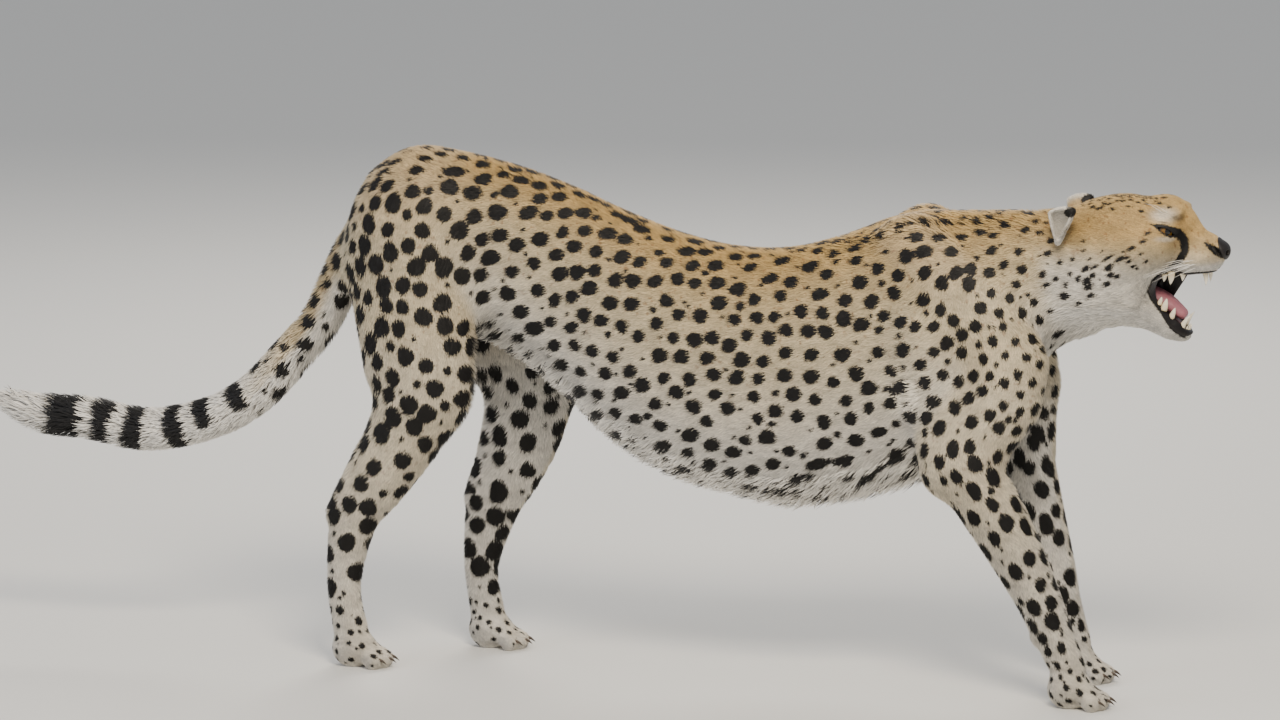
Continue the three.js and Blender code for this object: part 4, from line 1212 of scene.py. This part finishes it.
def tuftMesh(name, pick, isLong):
    n = len(pick)
    base, out, onward, beside = root[pick], rootNormal[pick], way[pick], sideways[pick]
    half, end = (width[pick] / 2)[:, None], tip[pick]
    sunk = out * tuft["sunk"]
    ridge = out * (tuft["thick"] * 2 * half)
    rows = [base - beside * half - sunk, base + beside * half - sunk, base + ridge]
    shares = [0.0, 0.0, 0.0]
    turned = [out - beside * 0.7, out + beside * 0.7, out]
    if isLong:
        rise = ((end - base) * out).sum(1, keepdims=True)
        bend = base + (end - base) * 0.5 + out * rise * 0.24 + beside * random.normal(0, 1.0, (n, 1))
        rows += [bend - beside * half * 0.75, bend + beside * half * 0.75, bend + ridge * 0.75]
        shares += [0.55] * 3
        turned += turned[:3]
    rows.append(end)
    shares.append(1.0)
    turned.append(out + onward * 0.25)
    k = len(rows)
    at = np.stack(rows, 1).reshape(-1, 3)
    at[:, 2] = np.maximum(at[:, 2], tuft["lowest"])
    if isLong:
        pattern = [[0, 2, 1], [0, 1, 4], [0, 4, 3], [1, 2, 5], [1, 5, 4],
                   [2, 0, 3], [2, 3, 5], [3, 4, 6], [4, 5, 6], [5, 3, 6]]
    else:
        pattern = [[0, 2, 1], [0, 1, 3], [1, 2, 3], [2, 0, 3]]
    index = (np.arange(n)[:, None, None] * k + np.array(pattern)).reshape(-1, 3)
    flat = chart(name, base)
    shift = np.zeros((n, k, 2))
    shift[:, 0] = [-0.5, -0.5]
    shift[:, 1] = [0.5, -0.5]
    if isLong:
        shift[:, 3], shift[:, 4], shift[:, 5] = [-0.4, 0.1], [0.4, 0.1], [0.0, 0.15]
    shift[:, -1] = [0.0, 0.5]
    made = dict(at=at, index=index, normal=unit(np.stack(turned, 1).reshape(-1, 3)), tip=np.tile(shares, n))
    for key, values in (("pale", rootPale), ("gold", rootGold), ("tone", tone), ("edge", rootEdge)):
        made[key] = np.repeat(values[pick], k)
    made["flat"] = (flat[:, None] + shift * tuft["patch"]).reshape(-1, 2)
    return made


owners = pieceOf(root)
total = 0
for name in sorted(set(owners)):
    parts = [tuftMesh(name, pick, isLong) for isLong in (False, True)
             for pick in [np.nonzero((owners == name) & (long == isLong))[0]] if len(pick)]
    if len(parts) == 2:
        parts[1]["index"] = parts[1]["index"] + len(parts[0]["at"])
    whole = {key: np.concatenate([part[key] for part in parts]) for key in parts[0]}
    mesh = shapeMesh("coat" + name, whole["at"], whole["index"])
    mesh.polygons.foreach_set("use_smooth", np.ones(len(whole["index"]), bool))
    for key in ("tip", "pale", "gold", "tone", "edge"):
        numbers(mesh, key, whole[key])
    flat = mesh.uv_layers.new(name="OFBake")
    flat.data.foreach_set("uv", whole["flat"][whole["index"].ravel()].astype(np.float32).ravel())
    mesh.normals_split_custom_set_from_vertices(whole["normal"])
    addPiece("coat" + name, mesh, guardHair, "coat")
    total += len(whole["index"])
    print("coat", name, len(whole["index"]))
print("coat triangles", total)


def netMesh(name, field, axes, steps=3):
    at, quads = surfaceNet(sampleField(field, axes), axes)
    at = settle(field, at, steps)
    mesh = shapeMesh(name, at, quads)
    mesh.polygons.foreach_set("use_smooth", np.ones(len(quads), bool))
    return mesh, at


# Nose pad: bare pebbled leather with comma-shaped nostrils and a groove down the middle.
def noseField(x, y, z):
    x, y, z = np.broadcast_arrays(x, y, z)
    side = np.abs(y)
    body = bodyField(x, y, z)
    half = noseHalf(z)
    d = smoothMax(smoothMax(body - 0.5, -noseRear(x, z), 3), smoothMax(side - half, 602 - z, 2), 3)
    groove = np.maximum(side - 0.5, -1.8 - body)
    d = smoothMax(d, -np.maximum(groove, z - 626), 1.0)
    return smoothMax(d, -nostrilField(x, side, z), 1.4)


noseMesh, at = netMesh("nosePad", noseField,
                       [axisOf(803, 839, 0.9), axisOf(-23, 23, 0.9), axisOf(598, 658, 0.9)])
leatherFinish = {"Base Color": linear("#171211"), "Roughness": 0.44, "IOR": 1.45}  # a low wet shine
leather, tree, shader = newMaterial("moist black nose leather", leatherFinish)  # pebbles 1.1 mm across
place = addNode(tree, "ShaderNodeTexCoord").outputs["Object"]
pebble = addNode(tree, "ShaderNodeTexVoronoi", dict(Scale=900.0), dict(Vector=place)).outputs["Distance"]
bump = addNode(tree, "ShaderNodeBump", dict(Strength=0.5, Distance=0.0004, invert=True),
               dict(Height=pebble)).outputs[0]
tree.links.new(bump, shader.inputs["Normal"])
addPiece("nosePad", noseMesh, leather, "nose", "nose")

# Inside of the mouth: black lips round the opening, then pink lining back to the throat, with painted shade
# darkening the pink towards the back.
lipBand = dict(proud=0.5, thick=6.5)


def liningField(x, y, z):
    x, y, z = np.broadcast_arrays(x, y, z)
    body, opening, flat = bodyField(x, y, z), cavityField(x, y, z), mouthField(x, z)
    lips = smoothMax(flat - lipWidth(x, z), body - lipBand["proud"], 2.0)
    lips = smoothMax(lips, -lipBand["thick"] - body, 2.0)
    inner = smoothMax(opening - 1.5, body + 2.0, 2.0)
    lining = smoothMax(smoothMin(lips, inner, 2.0), -opening - 2.4, 2.4)
    # The left cheek is stretched further forward than the right and closes the gap behind the teeth.
    fold = smoothMax(np.abs(y - 23.5) - 2.2, x - 774 + 0.62 * (596 - z), 2.0)
    return smoothMin(lining, smoothMax(smoothMax(fold, flat - 4.0, 2.0), 546 - z, 2.0), 4.0)


mouthMesh, at = netMesh("mouthLining", liningField,
                        [axisOf(682, 834, 1.6), axisOf(-52, 52, 1.6), axisOf(500, 622, 1.6)])
numbers(mouthMesh, "lip", smoothStep(-9.0, -6.0, bodyField(*at.T)))
# Painted shade: the lining darkens from the front of the mouth back towards the throat.
numbers(mouthMesh, "deep", smoothStep(782, 728, at[:, 0]))
# Mucous membrane: wet, black on the lips, pink within, the pink painted darker towards the throat as
# painted shade.
lining, tree, shader = newMaterial("moist mouth lining", {"Roughness": 0.34, "IOR": 1.40})
place = addNode(tree, "ShaderNodeTexCoord").outputs["Object"]
wrinkle = addNode(tree, "ShaderNodeTexNoise", dict(Scale=260.0, Detail=3.0), dict(Vector=place)).outputs[0]
deep, lip = [addNode(tree, "ShaderNodeAttribute", dict(attribute_name=n)).outputs["Fac"]
             for n in ("deep", "lip")]
pink = addNode(tree, "ShaderNodeMix", {"data_type": "RGBA", 6: linear("#AD666C"), 7: linear("#4F2126")},
               {0: deep}).outputs[2]
blotch = addNode(tree, "ShaderNodeMapRange", {"From Min": 0.52, "From Max": 0.66, "To Max": 0.55},
                 dict(Value=wrinkle)).outputs[0]
pink = addNode(tree, "ShaderNodeMix", {"data_type": "RGBA", 7: linear("#5E3440")},
               {0: blotch, 6: pink}).outputs[2]
colour = addNode(tree, "ShaderNodeMix", {"data_type": "RGBA", 7: linear("#120D0C")},
                 {0: lip, 6: pink}).outputs[2]
tree.links.new(colour, shader.inputs["Base Color"])
bump = addNode(tree, "ShaderNodeBump", dict(Strength=0.5, Distance=0.0012), dict(Height=wrinkle)).outputs[0]
tree.links.new(bump, shader.inputs["Normal"])
addPiece("mouthLining", mouthMesh, lining, "mouth")

# Tongue: broad, hollowed along the middle, rough with papillae.
tongueRows = [[690, 0, 566, 13], [718, 0, 566, 13.5], [745, 0, 557, 12], [768, 0, 541, 8.5]]
tongueChain = chain(tongueRows, 1, 1.5, 0)


def tongueField(x, y, z):
    x, y, z = np.broadcast_arrays(x, y, z)
    return muscleField(tongueChain, (x, y, z)) + 1.8 * np.exp(-(y / 3.2)**2)


tongueMesh, at = netMesh("tongue", tongueField,
                         [axisOf(672, 782, 1.7), axisOf(-24, 24, 1.7), axisOf(526, 584, 1.7)])
fleshFinish = {"Base Color": linear("#9E636C"), "Roughness": 0.4}
flesh, tree, shader = newMaterial("rough wet tongue", fleshFinish)  # papillae 1.2 mm apart
place = addNode(tree, "ShaderNodeTexCoord").outputs["Object"]
papilla = addNode(tree, "ShaderNodeTexVoronoi", dict(Scale=800.0), dict(Vector=place)).outputs["Distance"]
bump = addNode(tree, "ShaderNodeBump", dict(Strength=0.6, Distance=0.0006, invert=True),
               dict(Height=papilla)).outputs[0]
tree.links.new(bump, shader.inputs["Normal"])
addPiece("tongue", tongueMesh, flesh, "mouth", "tongue")


# Teeth and claws are bent cones.
def bentCone(start, end, radius, bend, rings=7, sides=10, flat=1.0):
    start, end, bend = [np.array(v, float) for v in (start, end, bend)]
    way = (end - start) / np.linalg.norm(end - start)
    u = np.cross(way, [0, 1, 0.01])
    u /= np.linalg.norm(u)
    v = np.cross(way, u)
    at, index, share = [start], [], [0.0]
    for k in range(rings):
        t = k / rings
        middleLine = start + (end - start) * t + bend * 4 * t * (1 - t)
        r = radius * (1 - t**1.6) * (1 - 0.12 * math.cos(3 * t)) + 0.001
        for j in range(sides):
            turn = 2 * math.pi * j / sides
            at.append(middleLine + u * r * math.cos(turn) + v * r * flat * math.sin(turn))
            share.append(t)
    at.append(end)
    share.append(1.0)
    for j in range(sides):
        after = (j + 1) % sides
        index.append([0, 1 + after, 1 + j])
        index.append([len(at) - 1, 1 + (rings - 1) * sides + j, 1 + (rings - 1) * sides + after])
        for k in range(rings - 1):
            a, b = 1 + k * sides + j, 1 + k * sides + after
            index += [[a, b, b + sides], [a, b + sides, a + sides]]
    return np.array(at), np.array(index), np.array(share)


def joinedMesh(name, shapes):
    at = np.concatenate([s[0] for s in shapes])
    starts = np.cumsum([0] + [len(s[0]) for s in shapes[:-1]])
    mesh = shapeMesh(name, at, np.concatenate([s[1] + n for s, n in zip(shapes, starts)]))
    work = bmesh.new()
    work.from_mesh(mesh)
    bmesh.ops.recalc_face_normals(work, faces=work.faces[:])
    work.to_mesh(mesh)
    work.free()
    mesh.polygons.foreach_set("use_smooth", np.ones(len(mesh.polygons), bool))
    numbers(mesh, "along", np.concatenate([s[2] for s in shapes]))
    return mesh


upperTeeth = [  # root, tip, radius, bend forward: x, side, z in mm
    ((799, 18, 610), (803, 18, 583), 5.2, 2.2), ((809, 2.4, 610), (811, 2.4, 600), 2.2, 0.4),
    ((808, 6.6, 610), (810, 6.6, 600), 2.4, 0.4), ((806, 10.8, 610), (808, 10.8, 599), 2.7, 0.5),
    ((783, 22, 606), (783, 22, 598), 3.0, 0.3), ((772, 25, 606), (772, 24, 589), 5.4, 0.6),
    ((757, 29, 603), (756, 28, 584), 6.2, 0.6), ((748, 30, 600), (747, 29, 588), 4.6, 0.4)]
lowerTeeth = [
    ((769, 15, 519), (783, 16, 542), 5.0, -2.2), ((777, 2.2, 514), (782, 2.2, 526), 2.0, -0.4),
    ((776, 6.2, 514), (781, 6.2, 526), 2.2, -0.4), ((774, 10, 515), (779, 10.2, 527), 2.3, -0.4),
    ((756, 21, 537), (762, 21, 552), 5.0, 0.4), ((746, 24, 548), (751, 24, 565), 5.8, 0.4),
    ((740, 25, 556), (744, 25, 567), 4.2, 0.4)]
shapes = []
for rows in (upperTeeth, lowerTeeth):
    for (ax, ay, az), (bx, by, bz), radius, bend in rows:
        for side in (-1, 1):
            flat = 0.62 if ax < 790 and radius > 4.5 and ay > 19 else 0.85
            shapes.append(bentCone((ax, side * ay, az), (bx, side * by, bz), radius, (bend, 0, 0),
                                   flat=flat))


def hornLike(name, root, tip, finish):  # one colour at the root runs into another at the tip
    material, tree, shader = newMaterial(name, finish)
    along = addNode(tree, "ShaderNodeAttribute", dict(attribute_name="along")).outputs["Fac"]
    tint = addNode(tree, "ShaderNodeMix", {"data_type": "RGBA", 6: linear(root), 7: linear(tip)},
                   {0: along})
    tree.links.new(tint.outputs[2], shader.inputs["Base Color"])
    return material


# Enamel: yellower at the gum, glossy with spit.
enamel = hornLike("ivory tooth enamel", "#D8C59C", "#F1EBDA", {"Roughness": 0.22, "IOR": 1.62})
addPiece("teeth", joinedMesh("teeth", shapes), enamel, "teeth")

claw = dict(length=15.0, radius=3.0, flat=0.62, drop=7.0, ahead=6, height=14, thumbRadius=3.2)
shapes = []
for leg in legs.values():
    for x, y in toeTips(leg):
        x += claw["ahead"]
        shapes.append(bentCone((x, y, claw["height"]),
                               (x + claw["length"], y, claw["height"] - claw["drop"]),
                               claw["radius"], (0, 0, 2.2), flat=claw["flat"]))
    if "heel" not in leg:  # the thumb claw on the inner side of a foreleg
        wx, wy, wz, wr = leg["bones"][-1]
        inner = leg["side"] * (wy - wr * leg["flat"] + 3)
        shapes.append(bentCone((wx, inner, wz + 12), (wx + 10, inner - leg["side"] * 9, wz - 4),
                               claw["thumbRadius"], (2, 0, 2), flat=claw["flat"]))
horn = hornLike("blunt dark claw horn", "#5B4B3D", "#241C17", {"Roughness": 0.42})  # keratin worn dull
addPiece("claws", joinedMesh("claws", shapes), horn, "teeth")


# Eyes: amber iris round a small round pupil, under a wet cornea.
eyeRings = dict(pupil=0.27, iris=0.74, rings=34, sides=48, cornea=0.55, sunk=0.15)


def eyeMesh(name, side):
    gaze = np.array([0.60, 0.79, 0.06])
    gaze /= np.linalg.norm(gaze)
    u = np.cross(gaze, [0, 0, 1])
    u /= np.linalg.norm(u)
    v = np.cross(u, gaze)
    ball = eyeball["radius"] - eyeRings["sunk"]
    angles = np.linspace(0, math.pi, eyeRings["rings"] + 1)
    at, index, turned = [], [], []
    for a in angles[1:-1]:
        r = ball + eyeRings["cornea"] * math.exp(-(a / 0.5)**2)
        for j in range(eyeRings["sides"]):
            t = 2 * math.pi * j / eyeRings["sides"]
            way = gaze * math.cos(a) + (u * math.cos(t) + v * math.sin(t)) * math.sin(a)
            at.append(eyeball["at"] + r * way)
            turned.append(a)
    n, count = eyeRings["sides"], eyeRings["rings"] - 1
    at += [eyeball["at"] + gaze * (ball + eyeRings["cornea"]), eyeball["at"] - gaze * eyeball["radius"]]
    turned += [0.0, math.pi]
    for j in range(n):
        after = (j + 1) % n
        index += [[count * n, j, after], [count * n + 1, (count - 1) * n + after, (count - 1) * n + j]]
        for k in range(count - 1):
            a, b = k * n + j, k * n + after
            index += [[a, a + n, b + n], [a, b + n, b]]
    at = np.array(at) * [1, side, 1]
    return joinedMesh(name, [(at, np.array(index), np.array(turned))])


eyeFinish = {"Roughness": 0.16, "IOR": 1.38, "Coat Weight": 1.0, "Coat Roughness": 0.03}
wetEye, tree, shader = newMaterial("amber eye under a wet cornea", eyeFinish)
ring = addNode(tree, "ShaderNodeAttribute", dict(attribute_name="along")).outputs["Fac"]
place = addNode(tree, "ShaderNodeTexCoord").outputs["Object"]
fibre = addNode(tree, "ShaderNodeTexNoise", dict(Scale=900.0, Detail=2.0), dict(Vector=place)).outputs[0]
colour = linear("#634214")
irisEdge, pupilEdge = eyeRings["iris"], eyeRings["pupil"]
eyeBands = [  # what drives each colour, where it starts and where it is full
    (fibre, 0.35, 0.65, "#8B6522"), (ring, irisEdge - 0.22, irisEdge, "#33200F"),
    (ring, irisEdge, irisEdge + 0.05, "#140D0A"), (ring, pupilEdge + 0.02, pupilEdge, "#040303")]
for source, start, end, tint in eyeBands:
    part = addNode(tree, "ShaderNodeMapRange", {"From Min": start, "From Max": end},
                   dict(Value=source)).outputs[0]
    blend = addNode(tree, "ShaderNodeMix", {"data_type": "RGBA", 7: linear(tint)}, {0: part})
    if isinstance(colour, tuple):
        blend.inputs[6].default_value = colour
    else:
        tree.links.new(colour, blend.inputs[6])
    colour = blend.outputs[2]
tree.links.new(colour, shader.inputs["Base Color"])
for side, end in ((-1, "right"), (1, "left")):
    addPiece("eye" + end.capitalize(), eyeMesh("eye" + end.capitalize(), side), wetEye, "eye", "eye_" + end)

# Whiskers: a Geometry Nodes tree sweeps a tapering round hair along each line.
whiskers = dict(radius=0.35, sides=5, taper=0.88, length=64.0, points=9)


def whiskerTree():
    tree = bpy.data.node_groups.new("whiskers from lines", "GeometryNodeTree")
    sockets = tree.interface
    sockets.new_socket("Geometry", in_out="INPUT", socket_type="NodeSocketGeometry")
    for name, kind, value in (("Radius at root", "NodeSocketFloat", whiskers["radius"] / 1000),
                              ("Taper", "NodeSocketFloat", whiskers["taper"]),
                              ("Sides", "NodeSocketInt", whiskers["sides"]),
                              ("Material", "NodeSocketMaterial", None)):
        socket = sockets.new_socket(name, in_out="INPUT", socket_type=kind)
        if value is not None:
            socket.default_value = value
    sockets.new_socket("Geometry", in_out="OUTPUT", socket_type="NodeSocketGeometry")
    given = addNode(tree, "NodeGroupInput")
    lines = addNode(tree, "GeometryNodeMeshToCurve", {}, {"Mesh": given.outputs["Geometry"]})
    along = addNode(tree, "GeometryNodeSplineParameter")
    less = addNode(tree, "ShaderNodeMath", dict(operation="MULTIPLY"),
                   {0: along.outputs["Factor"], 1: given.outputs["Taper"]})
    left = addNode(tree, "ShaderNodeMath", {"operation": "SUBTRACT", 0: 1.0}, {1: less.outputs[0]})
    radius = addNode(tree, "ShaderNodeMath", dict(operation="MULTIPLY"),
                     {0: left.outputs[0], 1: given.outputs["Radius at root"]})
    circle = addNode(tree, "GeometryNodeCurvePrimitiveCircle", {"Radius": 1.0},
                     {"Resolution": given.outputs["Sides"]})
    hair = addNode(tree, "GeometryNodeCurveToMesh", {"Fill Caps": True},
                   {"Curve": lines.outputs[0], "Profile Curve": circle.outputs[0],
                    "Scale": radius.outputs[0]})
    real = addNode(tree, "GeometryNodeRealizeInstances", {}, {"Geometry": hair.outputs[0]})
    done = addNode(tree, "GeometryNodeSetMaterial", {},
                   {"Geometry": real.outputs[0], "Material": given.outputs["Material"]})
    result = addNode(tree, "NodeGroupOutput")
    tree.links.new(done.outputs[0], result.inputs[0])
    return tree


def whiskerLines():
    at, edges = [], []
    rows = []
    for row in range(4):
        for column in range(4):
            rows.append((799 - 9 * column - 2 * row, 609 + 5.4 * row,
                         whiskers["length"] * (0.75 + 0.14 * column)))
    rows += [(752, 688, 34), (746, 687, 30)]
    for side in (-1, 1):
        for x, z, length in rows:
            i = onSkin(x + random.uniform(-1, 1), side, z + random.uniform(-1, 1))
            brow = z > 660
            start = points[i] - normals[i] * 1.5
            out = normals[i] * (0.6 if not brow else 0.9)
            out = out + np.array([-0.75, 0, -0.12 if not brow else 0.25])
            swept = np.array([-0.9, 0.16 * side, -0.42 if not brow else 0.1])
            n = whiskers["points"]
            steps = np.linspace(0, 1, n)[:, None]
            curve = out * steps * (1 - 0.55 * steps) + swept * 0.5 * steps**2
            line = start + length * random.uniform(0.85, 1.15) * curve
            line[:, 2] += random.uniform(-3, 3) * steps[:, 0]**2
            edges += [(len(at) + k, len(at) + k + 1) for k in range(n - 1)]
            at += [((p - middle) / 1000).tolist() for p in line]
    return at, edges


# Whisker keratin: stiff, smooth and slightly translucent in life.
stiff = newMaterial("white whisker keratin", {"Base Color": linear("#F3F0E8"), "Roughness": 0.35})[0]
lineMesh = bpy.data.meshes.new("whiskerLines")
lineMesh.from_pydata(*whiskerLines(), [])
carrier = bpy.data.objects.new("whiskerLines", lineMesh)
bpy.context.scene.collection.objects.link(carrier)
modifier = carrier.modifiers.new("hair", "NODES")
modifier.node_group = whiskerTree()
for item in modifier.node_group.interface.items_tree:
    if item.in_out == "INPUT" and item.name == "Material":
        modifier[item.identifier] = stiff
bpy.context.view_layer.update()
hairMesh = bpy.data.meshes.new_from_object(carrier.evaluated_get(bpy.context.evaluated_depsgraph_get()))
hairMesh.name = "whiskers"
bpy.data.objects.remove(carrier)
hairMesh.materials.clear()
addPiece("whiskers", hairMesh, stiff, "coat")
print("face, teeth, claws and whiskers")


# Plain studio: pale floor, soft lamps, camera.
stageKit = dict(floor=80.0, floorColour="#D9D8D4", world="#DADDE2", worldStrength=0.75)
floorMesh = bpy.data.meshes.new("floor")
half = stageKit["floor"] / 2
corners = [(-half, -half, 0), (half, -half, 0), (half, half, 0), (-half, half, 0)]
floorMesh.from_pydata(corners, [], [(0, 1, 2, 3)])
floor = bpy.data.objects.new("floor", floorMesh)
bpy.context.scene.collection.objects.link(floor)
matte = {"Base Color": linear(stageKit["floorColour"]), "Roughness": 0.85}
floorMesh.materials.append(newMaterial("pale matte studio floor", matte)[0])

world = bpy.data.worlds.new("soft studio")
bpy.context.scene.world = world
world.use_nodes = True
sky = world.node_tree.nodes["Background"]
sky.inputs["Color"].default_value = linear(stageKit["world"])
sky.inputs["Strength"].default_value = stageKit["worldStrength"]

lamps = [  # name, place, size, watts, colour
    ("key", (1.2, -2.4, 3.1), 1.2, 150, "#FFF2DE"),
    ("fill", (-3.2, -2.4, 1.8), 2.4, 45, "#EAF0FF"),
    ("rim", (-0.6, 3.0, 2.8), 2.0, 100, "#FFF8EE")]
for name, place, size, watts, colour in lamps:
    light = bpy.data.lights.new(name, "AREA")
    light.size, light.energy, light.color = size, watts, linear(colour)[:3]
    lamp = bpy.data.objects.new(name, light)
    lamp.location = place
    lamp.rotation_euler = (Vector(place) - Vector((0, 0, 0.4))).to_track_quat("Z", "Y").to_euler()
    bpy.context.scene.collection.objects.link(lamp)

shot = dict(azimuth=15, elevation=10, distance=9.3, target=(0.0645, -0.0013, 0.441), lens=186.8)
azimuth, elevation = math.radians(shot["azimuth"]), math.radians(shot["elevation"])
back = Vector((math.sin(azimuth) * math.cos(elevation), -math.cos(azimuth) * math.cos(elevation),
               math.sin(elevation)))
camera = bpy.data.objects.new("camera", bpy.data.cameras.new("camera"))
camera.data.lens, camera.data.sensor_width = shot["lens"], 36
camera.location = Vector(shot["target"]) + back * shot["distance"]
camera.rotation_euler = back.to_track_quat("Z", "Y").to_euler()
bpy.context.scene.collection.objects.link(camera)
bpy.context.scene.camera = camera
